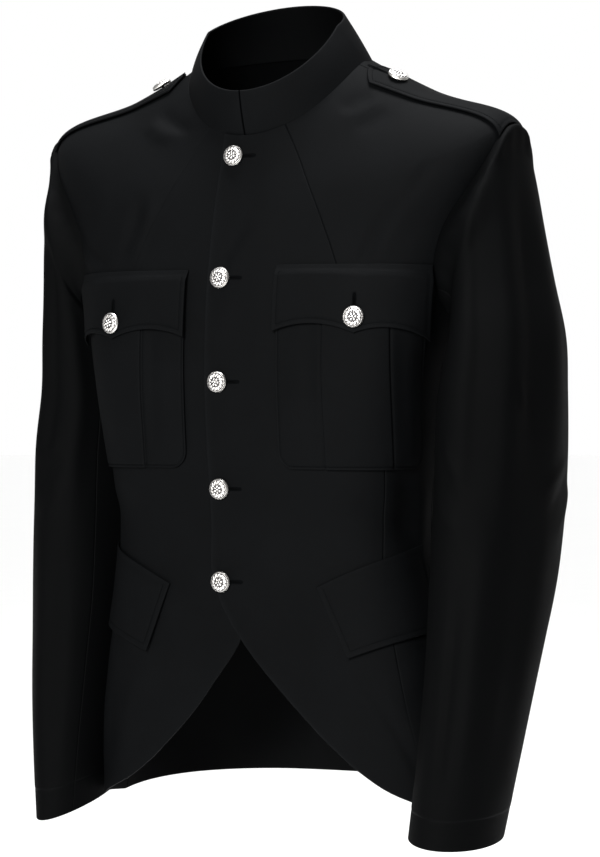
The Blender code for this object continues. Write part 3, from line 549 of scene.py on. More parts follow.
def mesh_object(name, points, faces, finish, uv=None, fields=None):
    """One object from points and arrays of faces, with a UV and point fields where they are given."""
    mesh = bpy.data.meshes.new(name)
    mesh.from_pydata(points.reshape(-1, 3), [], [face for some in faces for face in some.tolist()])
    mesh.polygons.foreach_set("use_smooth", np.ones(len(mesh.polygons), bool))
    if uv is not None:
        corners = np.empty(len(mesh.loops), np.int32)
        mesh.loops.foreach_get("vertex_index", corners)
        mesh.uv_layers.new(name="cloth").data.foreach_set("uv", uv.reshape(-1, 2)[corners].ravel())
    for key, values in (fields or {}).items():
        field = mesh.attributes.new(key, "FLOAT", "POINT")
        field.data.foreach_set("value", np.ascontiguousarray(values, np.float32).ravel())
    mesh.materials.append(finish)
    mesh.update()
    made = bpy.data.objects.new(name, mesh)
    bpy.context.scene.collection.objects.link(made)
    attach(made, "root")
    return made


def grid_quads(index):
    """Quads of a grid of point numbers, rows by columns."""
    return np.stack([index[:-1, :-1], index[:-1, 1:], index[1:, 1:], index[1:, :-1]], axis=-1).reshape(-1, 4)


def shell(name, outer, inner, finish, uv, fields=None, flip=False):
    """A thin closed cloth shell: an outer and an inner grid of points that share their border points."""
    rows, cols = outer.shape[:2]
    number = np.arange(rows * cols).reshape(rows, cols)
    border = np.ones((rows, cols), bool)
    border[1:-1, 1:-1] = False
    under = np.where(border, number, -1)
    under[~border] = rows * cols + np.arange((~border).sum())
    points = np.concatenate([outer.reshape(-1, 3), inner[~border]])
    quads = np.concatenate([grid_quads(number), grid_quads(under)[:, ::-1]])
    if flip:
        quads = quads[:, ::-1]
    both = {
        key: np.concatenate([value.reshape(-1), value[~border]]) for key, value in (fields or {}).items()
    }
    # Marks the inner faces, which the wool darkens as painted shade.
    both["inside"] = np.concatenate([np.zeros(rows * cols), np.ones((~border).sum())])
    laid_out = np.concatenate([uv.reshape(-1, 2), uv[~border]])
    return mesh_object(name + "_cloth", points, [quads], finish, laid_out, both)


def edge_distance(*distances):
    """Distance from the nearest of several edges."""
    return np.minimum.reduce(np.broadcast_arrays(*distances))


def declare(piece, flat, area, node, rests_on=(), held="hung"):
    """Hides the imported part that a cloth piece stands for; the piece itself and the flat cut it is made from are
    not used.
    """
    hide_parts(node)


def front_name(side):
    """The front that carries a piece on this side."""
    return "left_front" if side > 0 else "right_front"


class Finish:
    """A shader value that Python's operators work on; each expression adds its own Math node."""

    def __init__(self, tree, socket):
        self.tree = tree
        self.socket = socket

    def node(self, kind, settings=None, inputs=None, output=0):
        """Adds any node: its settings first, then values or links for its inputs."""
        made = self.tree.nodes.new(kind)
        for key, value in (settings or {}).items():
            setattr(made, key, value)
        for key, value in (inputs or {}).items():
            if isinstance(value, Finish):
                self.tree.links.new(value.socket, made.inputs[key])
            else:
                made.inputs[key].default_value = value
        return Finish(self.tree, made.outputs[output])

    def math(self, operation, *values):
        return self.node("ShaderNodeMath", {"operation": operation}, dict(enumerate(values)))

    def __add__(self, other):
        return self.math("ADD", self, other)

    def __sub__(self, other):
        return self.math("SUBTRACT", self, other)

    def __rsub__(self, other):
        return self.math("SUBTRACT", other, self)

    def __mul__(self, other):
        return self.math("MULTIPLY", self, other)

    __radd__ = __add__
    __rmul__ = __mul__

    def sine(self):
        return self.math("SINE", self)

    def held(self):
        """This value kept between 0 and 1."""
        return self.node("ShaderNodeClamp", None, {0: self})

    def part(self, name):
        """Another output of the same node."""
        return Finish(self.tree, self.socket.node.outputs[name])

    def noise(self, scale, detail=2.0, roughness=0.5):
        """A noise between 0 and 1 over the coordinates held here."""
        inputs = {"Vector": self, "Scale": scale, "Detail": detail, "Roughness": roughness}
        return self.node("ShaderNodeTexNoise", None, inputs)

    def blend(self, low, high):
        """A colour between two, by this value."""
        settings = {"data_type": "RGBA"}
        return self.node("ShaderNodeMix", settings, {0: self.held(), 6: low, 7: high}, output=2)

    def bump(self, strength, distance):
        """A normal from this height."""
        return self.node("ShaderNodeBump", None, {"Height": self, "Strength": strength, "Distance": distance})


def new_finish(name, constants):
    """A new material, its Principled shader with these constant sockets, and a start for expressions."""
    made = bpy.data.materials.new(name)
    made.use_nodes = True
    shader = made.node_tree.nodes["Principled BSDF"]
    for key, value in constants.items():
        shader.inputs[key].default_value = value
    return made, shader, Finish(made.node_tree, None)


def drive(shader, values):
    """Links expressions to the shader's sockets."""
    for key, value in values.items():
        value.tree.links.new(value.socket, shader.inputs[key])


def wool(name, settings):
    """Worn black serge: a fine diagonal rib, fuzz, soft mottling, a painted highlight on edges, painted shade
    inside.
    """
    made, shader, start = new_finish(name, {"Specular IOR Level": settings.gloss})
    place = start.node("ShaderNodeTexCoord").part("Object")
    flat = start.node("ShaderNodeUVMap", {"uv_map": "cloth"})
    along = start.node("ShaderNodeSeparateXYZ", None, {0: flat})
    across, up = along.part("X"), along.part("Y")
    # edge carries a painted highlight; inside marks the inner faces, which get painted shade.
    edge = start.node("ShaderNodeAttribute", {"attribute_name": "edge"}).part("Fac")
    inside = start.node("ShaderNodeAttribute", {"attribute_name": "inside"}).part("Fac")
    rib = ((across * 0.55 + up * 0.84) * (2 * math.pi / settings.rib)).sine()
    yarn = ((across * 0.84 - up * 0.55) * (2 * math.pi / (settings.rib * 0.6))).sine()
    fuzz = place.noise(1500.0, 2.0, 0.6)
    slub = flat.noise(260.0, 2.0, 0.6)
    mottle = place.noise(24.0, 3.0, 0.55)
    cloud = place.noise(5.0, 2.0, 0.5)
    share = 0.42 + (mottle - 0.5) * 0.5 + (cloud - 0.5) * 0.4 + (fuzz - 0.5) * 0.5 + (slub - 0.5) * 0.35
    # Painted highlight along edges, pleat folds and cuff hems; the inner faces darkened as painted shade.
    share = share + edge * 0.07 + rib * 0.05 - inside * 0.7
    red, green, blue = settings.colour
    dark = (red * 0.40, green * 0.42, blue * 0.42, 1)
    light = (red * 1.85, green * 1.82, blue * 1.80, 1)
    height = rib * 0.35 + yarn * 0.25 + fuzz * 0.9 + slub * 0.6
    drive(shader, {
        "Base Color": share.blend(dark, light),
        "Roughness": (0.69 - edge * 0.02 + (mottle - 0.5) * 0.10).held(),
        "Normal": height.bump(0.35, 0.00022),
    })
    return made


def thread(name, colour, roughness):
    """Twisted sewing thread: a fine slanted ply with a dull gloss."""
    made, shader, start = new_finish(name, {"Specular IOR Level": 0.003})
    place = start.node("ShaderNodeTexCoord").part("Object")
    ply = place.noise(2600.0, 2.0, 0.6)
    drive(shader, {
        "Base Color": ply.blend([c * 0.6 for c in colour] + [1], [c * 1.5 for c in colour] + [1]),
        "Roughness": (roughness + (ply - 0.5) * 0.2).held(),
        "Normal": ply.bump(0.4, 0.0001),
    })
    return made


def silver(name, settings):
    """Struck silver-coloured metal: bright where it is raised and rubbed, dark in the relief's hollows."""
    made, shader, start = new_finish(name, {"Metallic": 1.0})
    relief = start.node("ShaderNodeAttribute", {"attribute_name": "relief"}).part("Fac")
    place = start.node("ShaderNodeTexCoord").part("Object")
    grain = place.noise(2200.0, 3.0, 0.6)
    tarnish = place.noise(420.0, 3.0, 0.6)
    share = (relief * 1.7 + (tarnish - 0.5) * 0.5 - 0.38).held()
    hollow = (0.022, 0.021, 0.022, 1)
    drive(shader, {
        "Base Color": share.blend(hollow, (*settings.colour, 1)),
        "Roughness": (settings.roughness + (1 - share) * 0.3 + (grain - 0.5) * 0.12).held(),
        "Normal": (grain * 0.6 + tarnish * 0.6).bump(0.22, 0.00012),
    })
    return made


def body_uv(side, around, up):
    """Places on the flat cloth in metres: along the ring and up the garment."""
    return np.stack(np.broadcast_arrays(side * around * BODY.length(up), up), axis=-1)


def panel_ups(skirt, hole, shoulder):
    """Ways up of a panel's rows: fine by the hem and the neck seam, close where the armhole's edge turns."""
    low = EDGE_STEPS[-1]
    lower = np.concatenate([EDGE_STEPS, np.linspace(low, ARMHOLE_LOW, skirt + 1)[1:-1]])
    turns = np.linspace(math.pi, 0, hole + 1)
    middle = (ARMHOLE_LOW + ARMHOLE_HIGH) / 2 + (ARMHOLE_HIGH - ARMHOLE_LOW) / 2 * np.cos(turns)
    upper = np.linspace(ARMHOLE_HIGH, BODY.top - low, shoulder + 1)[1:]
    return np.concatenate([lower, middle, upper, (BODY.top - EDGE_STEPS[::-1])[1:]])


def dart_depth(z):
    """How deep the dart's seam is pressed: 1.2 mm above the hip flap, fading to 0.2 mm towards the hem."""
    return 0.0010 * smooth((z + 0.60) / 0.10) + 0.0002


def make_front(name, side, over, finish):
    """One front: a grid from its edge to the side seam and the armhole, with the dart's seam line between."""
    ups = panel_ups(124, 52, 22)
    length = BODY.length(ups)
    z_middle = BODY.point(np.zeros_like(ups), ups)[:, 2]
    edge = by_height(FRONT_EDGES, 1 if side > 0 else 2, z_middle)
    side_end = side_limit(ups, False) * length
    dart = 0.3 * length
    for _ in range(6):
        dart = by_height(DART, 1, BODY.point(dart / length, ups)[:, 2])
    dart = np.clip(dart, edge + 0.004, side_end - 0.004)
    places, gaps = line_places([edge, dart, side_end], [46, 38])
    around = places / length[:, None]
    up = np.repeat(ups[:, None], places.shape[1], axis=1)
    border = edge_distance(gaps[0], gaps[2], up, BODY.top - up)
    lift = np.zeros_like(around)
    if over:
        lift = (CLOTH + LAP_GAP) * smooth((LAP_END - places) / LAP_RAMP)
    z = BODY.point(around, up)[..., 2]
    seam = dart_depth(z) * roll(gaps[1], 0.0013) / 0.0013 * (1.0 if over else 0.35)
    fall = roll(border, CLOTH / 2)
    outer = cloth(side, around, up, lift - fall - seam)
    inner = cloth(side, around, up, lift - CLOTH + fall)
    # Painted highlight along the panel's edges, three times as strong along the lapped front's edge.
    pressed = bell(border, 0.0012, 0.0022) + 3.0 * over * bell(gaps[0], 0.0010, 0.0028)
    made = shell(name, outer, inner, finish, body_uv(side, around, up), {"edge": pressed}, flip=side < 0)
    declare(made, (0.29, 0.70), 0.146, name)
    return made


def make_back(name, finish):
    """The back: one grid from the right side seam, armhole and shoulder seam to the left ones."""
    ups = panel_ups(116, 48, 22)
    length = BODY.length(ups)
    half = (1 - side_limit(ups, True)) * length
    places, gaps = line_places([-half, half], [132])
    side = np.where(places < 0, -1.0, 1.0)
    around = 1 - np.abs(places) / length[:, None]
    up = np.repeat(ups[:, None], places.shape[1], axis=1)
    border = edge_distance(gaps[0], gaps[1], up, BODY.top - up)
    fall = roll(border, CLOTH / 2)
    outer = cloth(side, around, up, -fall)
    inner = cloth(side, around, up, fall - CLOTH)
    flat = np.stack([places, up], axis=-1)
    # The edge field is a painted highlight along the back's edges.
    made = shell(name, outer, inner, finish, flat, {"edge": bell(border, 0.0012, 0.0022)}, flip=True)
    declare(made, (0.52, 0.72), 0.300, name)
    return made


def arm_rings(side, angles):
    """Rings of the sleeve's middle surface, from the armhole seam to the cuff, at these angles round it."""
    turn = np.where(angles <= math.pi, angles, 2 * math.pi - angles)
    back = angles > math.pi
    around = np.where(back, armhole(turn, True)[0], armhole(turn, False)[0])
    up = armhole(turn, False)[1]
    out = BODY.normal(around, up)
    seat = BODY.point(around, up) + out * drape(side, around, up)[:, None]
    low, high = armhole(math.pi, False), armhole(0.0, False)
    inward = (BODY.point(*low) + BODY.point(*high)) / 2 - seat
    inward -= (inward * out).sum(axis=1, keepdims=True) * out
    inward /= np.linalg.norm(inward, axis=1, keepdims=True)
    rings = [seat + inward * ARMHOLE_INSET - out * CLOTH * 1.1, seat + inward * HEAD_INSET + out * HEAD_ROLL]
    for row in (LEFT_ARM if side > 0 else RIGHT_ARM).values():
        s = dict(zip(ARM_COLUMNS, row))
        lean = math.radians(s["lean"])
        across = np.array([math.cos(lean), 0, math.sin(lean)])
        forwards = np.array([0, -1, -s["rise"]])
        centre = np.array([s["x"], s["y"], s["z"]])
        sideways = s["half_x"] * np.cos(angles)[:, None] * across
        rings.append(centre + (sideways + s["half_y"] * np.sin(angles)[:, None] * forwards))
    return np.array(rings)


def sleeve_length(side):
    """Knots of the sleeve's rings along its length, in metres."""
    whole = arm_rings(side, np.linspace(0, 2 * math.pi, 25)[:-1])
    return np.concatenate([[0], np.cumsum(np.linalg.norm(np.diff(whole, axis=0), axis=2).mean(axis=1))])


def sleeve_points(side, degrees, along, knots):
    """Points of the sleeve's middle surface, lengths from the armhole in rows and degrees in columns."""
    angles = np.mod(np.radians(degrees), 2 * math.pi)
    return hermite(knots, arm_rings(side, angles), along)


def sleeve_folds(side, degrees, share, length):
    """Height of the sleeve's folds, read at each angle and at the same angle a whole turn away."""
    folds = LEFT_SLEEVE_FOLDS if side > 0 else RIGHT_SLEEVE_FOLDS
    metres = math.radians(1.0) * 0.066
    total = sum(fold_field(folds, degrees + turn, share, metres, length) for turn in (-360, 0, 360))
    swell = 0.0004 * ripple(np.sin(np.radians(degrees)) * 0.1, share * length, 0.06, 11 + side)
    gather = 0.0004 * np.sin(np.radians(degrees) * 22) * bell(share, 0.03, 0.018)
    return (total + swell) * smooth(share / 0.045) + gather * smooth(1 - share / 0.1)


def make_sleeve_part(name, side, first, last, count, flat, finish):
    """A stretch of the sleeve between two seams, given by their angles; its cuff has a turned-up hem."""
    knots = sleeve_length(side)
    length = knots[-1]
    hem = length - CUFF_HEM
    rows = np.concatenate([
        EDGE_STEPS, np.linspace(EDGE_STEPS[-1], 0.05, 18)[1:],
        np.linspace(0.05, hem - EDGE_STEPS[-1], 130)[1:], hem - EDGE_STEPS[::-1][1:], hem + EDGE_STEPS[1:],
        np.linspace(hem + EDGE_STEPS[-1], length - EDGE_STEPS[-1], 10)[1:], length - EDGE_STEPS[::-1][1:],
    ])
    gap = math.degrees(SEAM / 2 / SLEEVE_RADIUS)
    metres = math.radians(1.0) * SLEEVE_RADIUS
    ends = np.array([(first + gap) * metres]), np.array([(last - gap) * metres])
    places, gaps = line_places(ends, [count])
    degrees = places[0] / metres
    grid = sleeve_points(side, degrees, rows, knots)
    turn, step = 1.0, 0.0015
    beyond = sleeve_points(side, degrees + turn, rows, knots)
    across = beyond - sleeve_points(side, degrees - turn, rows, knots)
    later = sleeve_points(side, degrees, np.clip(rows + step, 0, length), knots)
    down = later - sleeve_points(side, degrees, np.clip(rows - step, 0, length), knots)
    out = np.cross(down, across)
    out /= np.linalg.norm(out, axis=2, keepdims=True)
    along = rows[:, None]
    border = edge_distance(gaps[0], gaps[1], length - along, along + 0.0004)
    fall = roll(border, CLOTH / 2)[..., None]
    hem_line = 0.00035 * bell(along, hem, 0.0011) + 0.00025 * smooth((along - hem) / 0.002)
    lift = (sleeve_folds(side, degrees[None, :], along / length, length) + hem_line)[..., None]
    outer = grid + out * (CLOTH / 2 + lift - fall)
    inner = grid + out * (fall - CLOTH / 2 + lift)
    for layer in (outer, inner):
        layer[..., 0] *= side
    # Painted highlight along the edges, and a strong line of it along the cuff's hem fold.
    edge = bell(border, 0.0012, 0.0022) + 6.0 * bell(along, hem, 0.0014)
    uv = np.stack(np.broadcast_arrays(degrees[None, :] * metres * 1.2, -along), axis=-1)
    made = shell(name, outer, inner, finish, uv, {"edge": edge}, flip=side > 0)
    declare(made, *flat, name)
    return made


def collar_surface(half, level):
    """Points and normals of the collar's outside on the wearer's left: straight from the neck seam to its rim.

    half is 0 at the front end and 1 at the back middle; level is 0 at the foot and 1 at the rim.
    """
    top, _ = ring_outline(COLLAR_TOP)
    share = np.linspace(0, 1, RING_SAMPLES)

    def face(half, level):
        base = BODY.point(half, np.full_like(half, BODY.top))
        rim = np.stack([np.interp(half, share, top[:, k]) for k in range(3)], axis=-1)
        climb = rim - base
        foot = base - climb / np.linalg.norm(climb, axis=-1, keepdims=True) * COLLAR_TUCK
        return foot * (1 - level[..., None]) + rim * level[..., None]

    step = 0.004
    along = face(np.clip(half + step, 0, 1), level) - face(np.clip(half - step, 0, 1), level)
    rise = face(half, level + step) - face(half, level - step)
    out = np.cross(along, rise)
    out /= np.linalg.norm(out, axis=-1, keepdims=True)
    return face(half, level), out


def make_collar(finish):
    """The stand collar: both halves in one grid, thicker than the cloth, bowed out and softly uneven."""
    length = BODY.length(BODY.top)
    gap = COLLAR_GAP / 2
    places, gaps = line_places([np.array([gap]), np.array([2 * length - gap])], [210])
    half = places[0] / length
    mirrored = half > 1
    height = COLLAR_HEIGHT
    fine = EDGE_STEPS * 1.4
    even = np.linspace(fine[-1], height - fine[-1], 30)[1:-1]
    levels = np.concatenate([fine, even, (height - fine)[::-1]]) / height
    around, level = np.meshgrid(np.where(mirrored, 2 - half, half), levels)
    face, out = collar_surface(around, level)
    border = edge_distance(gaps[0], gaps[1], level * height, (1 - level) * height)
    fall = roll(border, COLLAR_CLOTH / 2)
    flat_place = np.where(mirrored, 2 * length - places[0], -places[0])[None, :]
    swell = 0.00035 * ripple(flat_place, level * height, 0.035, 21)
    bulge = COLLAR_BULGE * np.sin(math.pi * level) + swell * np.sin(math.pi * level)
    outer = face + out * (bulge - fall)[..., None]
    inner = face + out * (bulge - COLLAR_CLOTH + fall)[..., None]
    for layer in (outer, inner):
        layer[..., 0] *= np.where(mirrored, -1, 1)
    uv = np.stack(np.broadcast_arrays(places, level * height), axis=-1)
    # The edge field is a painted highlight along the collar's edges.
    made = shell("collar", outer, inner, finish, uv, {"edge": bell(border, 0.0014, 0.0024)})
    declare(made, (0.45, 0.062), 0.0215, "collar")
    return made


def line_place(reach, z):
    """The share of the ring at which a piece with this reach and height has its centre line."""
    return float(reach / BODY.length(BODY.up_at(z, 0.3)))


def pocket_centre(side):
    """The centre line of a chest pocket and its flap."""
    return line_place(POCKET_REACH[side], (POCKET_TOP + POCKET_BOTTOM) / 2)


def laid(side, reach, z, lift, centre):
    """Points on a piece laid on the body cloth, by reach along the ring and height on its centre line."""
    up = BODY.up_at(z, centre)
    return cloth(side, reach / BODY.length(up), up, lift)


def laid_normal(side, reach, z, centre):
    """The way out of the cloth there."""
    up = BODY.up_at(z, centre)
    return BODY.normal(reach / BODY.length(up), up) * np.array([side, 1, 1])


def pocket_inset(depth):
    """How far a pocket's side lies in at a height above its foot: a quarter circle at the corner."""
    below = np.clip(POCKET_CORNER - depth, 0, None)
    return POCKET_CORNER - np.sqrt(np.clip(POCKET_CORNER**2 - below**2, 0, None))


def pocket_lift(p, drop):
    """How far a pocket's outside stands off the body: a box pleat with sharp folds, and a slight pouch."""
    inward = PLEAT_HALF - np.abs(p)
    pleat = np.where(inward > 0, PLEAT_RAISE - roll(inward, 0.0009), 0)
    foot = -0.0007 * bell(inward, -0.0009, 0.0012)
    across = np.clip(1 - (p / POCKET_OUTER) ** 2, 0, 1)
    full = np.sin(math.pi * np.clip(drop, 0, 1))
    slack = (0.0005 * np.sin(p * 62 + 0.6) - 0.0012 * bell(np.abs(p), 0.041, 0.008)) * full
    return POCKET_LIFT + CLOTH + pleat + foot + slack + PUFF * across * full**1.2


def make_chest_pocket(name, side, finish):
    """A patch pocket: a grid with lines along both folds of its pleat, its lower corners round."""
    length = POCKET_TOP - POCKET_BOTTOM
    corner = POCKET_CORNER * (1 - np.cos(np.linspace(0, math.pi / 2, 26)))
    foot = np.unique(np.concatenate([EDGE_STEPS, corner, np.linspace(POCKET_CORNER, length, 60)]))
    foot = foot[np.concatenate([[True], np.diff(foot) > 2e-5])]
    inset = pocket_inset(foot)
    one = np.ones_like(foot)
    stops = [-(POCKET_INNER - inset), -PLEAT_HALF * one, PLEAT_HALF * one, POCKET_OUTER - inset]
    p, gaps = line_places(stops, [18, 26, 16])
    depth = np.repeat(foot[:, None], p.shape[1], axis=1)
    z = POCKET_BOTTOM + depth
    border = edge_distance(gaps[0], gaps[3], depth, length - depth)
    fall = roll(border, CLOTH / 2)
    sewn = 0.0006 * bell(border, 0.0024, 0.0011)
    lift = pocket_lift(p, depth / length)
    centre = pocket_centre(side)
    reach = POCKET_REACH[side] + p
    outer = laid(side, reach, z, lift - fall - sewn, centre)
    under = np.where(np.abs(p) < PLEAT_HALF, lift - PLEAT_RAISE, lift)
    inner = laid(side, reach, z, under - CLOTH + fall, centre)
    # Painted highlight along the pocket's edges and along both folds of its pleat.
    edge = bell(border, 0.0010, 0.0014) + 0.7 * bell(PLEAT_HALF - np.abs(p), 0.0008, 0.0012)
    uv = np.stack([side * reach, z], axis=-1)
    made = shell(name, outer, inner, finish, uv, {"edge": edge}, flip=side < 0)
    declare(made, (0.165, 0.185), 0.0255, name, rests_on=[front_name(side)])
    return made


def flap_depth(share):
    """Depth of a chest flap at a share across it from -1 to 1: two hollow curves that meet in a point."""
    return FLAP_DEPTH - FLAP_SCALLOP * np.sin(math.pi * np.abs(share)) ** 0.8


def flap_lift(share, across):
    """How far a chest flap's underside stands off the body at a share of its depth and of its width."""
    rise = smooth(share / FLAP_ROLL)
    over_pocket = PLEAT_RAISE + CLOTH + FLAP_CLEAR
    wave = 0.0005 * np.sin(across * 3.1 + 0.5) * share
    return FLAP_LIFT + over_pocket * rise + FLAP_STAND * share**1.5 + wave


def flap_place(side, across, share):
    """Reach and height of a place on a chest flap."""
    p = across * np.where(across < 0, FLAP_INNER, FLAP_OUTER)
    return POCKET_REACH[side] + p, FLAP_TOP[side] - flap_depth(across) * share


def make_chest_flap(name, side, finish):
    """The flap over a chest pocket: a grid across and down it, rolled at its edges, pressed in at its stitches."""
    metres, _ = line_places([np.array([-FLAP_INNER]), np.array([0.0]), np.array([FLAP_OUTER])], [44, 40])
    across = np.where(metres < 0, metres / FLAP_INNER, metres / FLAP_OUTER)[0]
    down, _ = line_places([np.array([0.0]), np.array([FLAP_DEPTH])], [44])
    across, share = np.meshgrid(across, down[0] / FLAP_DEPTH)
    reach, z = flap_place(side, across, share)
    p = reach - POCKET_REACH[side]
    depth = flap_depth(across)
    border = edge_distance(p + FLAP_INNER, FLAP_OUTER - p, share * depth, (1 - share) * depth)
    fall = roll(border, CLOTH / 2)
    sewn = 0.0004 * bell(border, 0.0045, 0.0012)
    low = flap_lift(share, across)
    centre = pocket_centre(side)
    outer = laid(side, reach, z, low + CLOTH - fall - sewn, centre)
    inner = laid(side, reach, z, low + fall, centre)
    # Painted highlight along the flap's edges.
    edge = bell(border, 0.0012, 0.0020)
    uv = np.stack([side * reach, z], axis=-1)
    made = shell(name, outer, inner, finish, uv, {"edge": edge}, flip=side > 0)
    declare(made, (0.146, 0.064), 0.0090, name, rests_on=[name.replace("flap", "pocket")], held="folded")
    return made


def hip_place(side, across, share):
    """Reach, height and lift of a place on a slanted hip flap: between its four corners, bowed up a little."""
    corner = {key: np.array(value) for key, value in HIP_FLAP.items()}
    across, share = across[..., None], share[..., None]
    top = corner["inner top"] * (1 - across) + corner["outer top"] * across
    low = corner["inner bottom"] * (1 - across) + corner["outer bottom"] * across
    flat = top * (1 - share) + low * share
    across, share = across[..., 0], share[..., 0]
    z = flat[..., 1] + HIP_FLAP_BOW * np.sin(math.pi * across) * (0.7 - 0.2 * share)
    lift = HIP_FLAP_LIFT + HIP_FLAP_STAND * share**0.8 + HIP_FLAP_WAVE * np.sin(across * 7 + 1) * share
    return flat[..., 0] + side * HIP_FLAP_SWAY, z, lift


def hip_centre(side):
    """The centre line of a hip flap, from the middle of its corners."""
    across, share = np.meshgrid(np.linspace(0, 1, 12), np.linspace(0, 1, 6))
    reach, z, _ = hip_place(side, across, share)
    return line_place(float(reach.mean()), float(z.mean()))


def make_hip_flap(name, side, finish):
    """The slanted flap on the hip, a grid across and down it."""
    wide, deep = HIP_FLAP_WIDE, HIP_FLAP_DEEP
    across, _ = line_places([np.array([0.0]), np.array([wide])], [60])
    down, _ = line_places([np.array([0.0]), np.array([deep])], [36])
    across, share = np.meshgrid(across[0] / wide, down[0] / deep)
    reach, z, low = hip_place(side, across, share)
    border = edge_distance(across * wide, (1 - across) * wide, share * deep, (1 - share) * deep)
    fall = roll(border, CLOTH / 2)
    sewn = 0.0004 * bell(border, 0.0055, 0.0012)
    outer = laid(side, reach, z, low + CLOTH - fall - sewn, hip_centre(side))
    inner = laid(side, reach, z, low + fall, hip_centre(side))
    # Painted highlight along the hip flap's edges.
    edge = bell(border, 0.0012, 0.0020)
    uv = np.stack([side * reach, z], axis=-1)
    made = shell(name, outer, inner, finish, uv, {"edge": edge}, flip=side > 0)
    declare(made, (0.125, 0.085), 0.0081, name, rests_on=[front_name(side)], held="folded")
    return made


def strap_ways(share, across):
    """Ways (round, up) over a shoulder strap: share from the sleeve seam to its point, across from -1 to 1."""
    turns = np.linspace(0, math.pi / 2, 60)
    ends = []
    for back in (False, True):
        around, up = armhole(turns, back)
        ends.append((np.abs(around - 0.5) * BODY.length(up), up))
    outer = STRAP_HALF_OUTER * across
    start = np.where(across > 0, np.interp(outer, *ends[1]), np.interp(-outer, *ends[0])) + STRAP_SLEEVE_GAP
    tip = BODY.top - STRAP_COLLAR_GAP - STRAP_POINT * np.abs(across) ** STRAP_BLUNT
    up = start * (1 - share) + tip * share
    half = STRAP_HALF_OUTER * (1 - share) + STRAP_HALF_INNER * share
    return 0.5 + half * across / BODY.length(up), up


def make_strap(name, side, finish):
    """A shoulder strap from the sleeve head seam to a blunt point by the collar, firm and a little crowned."""
    wide, long = 2 * STRAP_HALF_OUTER, STRAP_LONG
    across, _ = line_places([np.array([-wide / 2]), np.array([wide / 2])], [34])
    down, _ = line_places([np.array([0.0]), np.array([long])], [74])
    across, share = np.meshgrid(across[0] / (wide / 2), down[0] / long)
    around, up = strap_ways(share, across)
    border = edge_distance((1 - np.abs(across)) * wide / 2, (1 - share) * long, share * long + 0.0004)
    fall = roll(border, STRAP_CLOTH / 2)
    sewn = 0.0004 * bell(border, 0.0045, 0.0012)
    outer = cloth(side, around, up, STRAP_LIFT + STRAP_CLOTH - fall - sewn)
    inner = cloth(side, around, up, STRAP_LIFT + fall)
    # Painted highlight along the strap's edges.
    edge = bell(border, 0.0014, 0.0022)
    uv = np.stack(np.broadcast_arrays(across * wide / 2 * side, share * long), axis=-1)
    made = shell(name, outer, inner, finish, uv, {"edge": edge}, flip=side < 0)
    declare(made, (0.05, 0.145), 0.0069, name, rests_on=[front_name(side)], held="laid")
    return made


def on_front(side, reach, z, centre, lift):
    """A way to place things on a front or a flap: local a runs along the ring and b up, from this place."""
    def place(a, b):
        return laid(side, reach + a, z + b, lift, centre), laid_normal(side, reach + a, z + b, centre)
    return place


def on_strap(side, up, lift):
    """A way to place things on a shoulder strap: local a runs across it and b along it towards the collar."""
    def place(a, b):
        around, ups = np.broadcast_arrays(0.5 + a / BODY.length(up + b), up + b)
        return cloth(side, around, ups, lift), BODY.normal(around, ups) * np.array([side, 1, 1])
    return place


def button_places():
    """Each button's node with the way to place things round it, outside the cloth that carries it."""
    places = {}
    for side, label in ((1, "left"), (-1, "right")):
        z = FLAP_TOP[side] - FLAP_BUTTON_DROP
        lift = float(flap_lift(FLAP_BUTTON_DROP / FLAP_DEPTH, 0.0)) + CLOTH
        places[f"{label}_flap_button"] = on_front(side, POCKET_REACH[side], z, pocket_centre(side), lift)
        up = BODY.top - STRAP_COLLAR_GAP - STRAP_BUTTON
        places[f"{label}_strap_button"] = on_strap(side, up, STRAP_LIFT + STRAP_CLOTH)
    for number, (reach, z) in enumerate(zip(BUTTON_REACHES, BUTTON_HEIGHTS), start=1):
        places[f"front_button_{number}"] = on_front(1, reach, z, 0.0, CLOTH + LAP_GAP)
    return places


def struck_relief(radius, turn):
    """Relief of the face between 0 and 1: a beaded rim, a ring of leaves and a rosette of petals in the middle.

    Each leaf is a slanted ridge that is narrow at both ends; each petal is a lobe of a cosine.
    """
    bead = (0.5 + 0.5 * np.cos(turn * 40)) * bell(radius, 0.90, 0.045)
    leaf_turn = turn * 13 / (2 * math.pi) + (radius - 0.67) * 2.2
    leaf = np.abs((leaf_turn % 1) - 0.5) * 2
    vein = bell(leaf, 0, 0.10) * 0.45
    leaves = np.clip(1 - leaf**1.6, 0, 1) * bell(radius, 0.66, 0.15, 4) * (1 - vein)
    second = np.abs(((turn * 13 / (2 * math.pi) - (radius - 0.60) * 3.0 + 0.5) % 1) - 0.5) * 2
    between = 0.8 * np.clip(1 - (second / 0.7) ** 2, 0, 1) * bell(radius, 0.56, 0.09, 4)
    petals = np.clip(np.cos(turn * 6) * 0.6 + 0.55, 0, 1) * bell(radius, 0.27, 0.12, 4)
    heart = bell(radius, 0, 0.10, 4)
    return np.clip(np.maximum.reduce(np.broadcast_arrays(bead, leaves, between, petals, heart)), 0, 1)


# A button's section from its back to the rim of its dome: radius and height as shares of the button's own.
BUTTON_OUTLINE = (
    (0.60, 0.00), (0.86, 0.03), (0.95, 0.09), (0.99, 0.18), (1.00, 0.28), (0.985, 0.37), (0.95, 0.44),
)
BUTTON_RADIUS = 0.0095
BUTTON_HEIGHT = 0.0054
SHANK_RADIUS = 0.0016


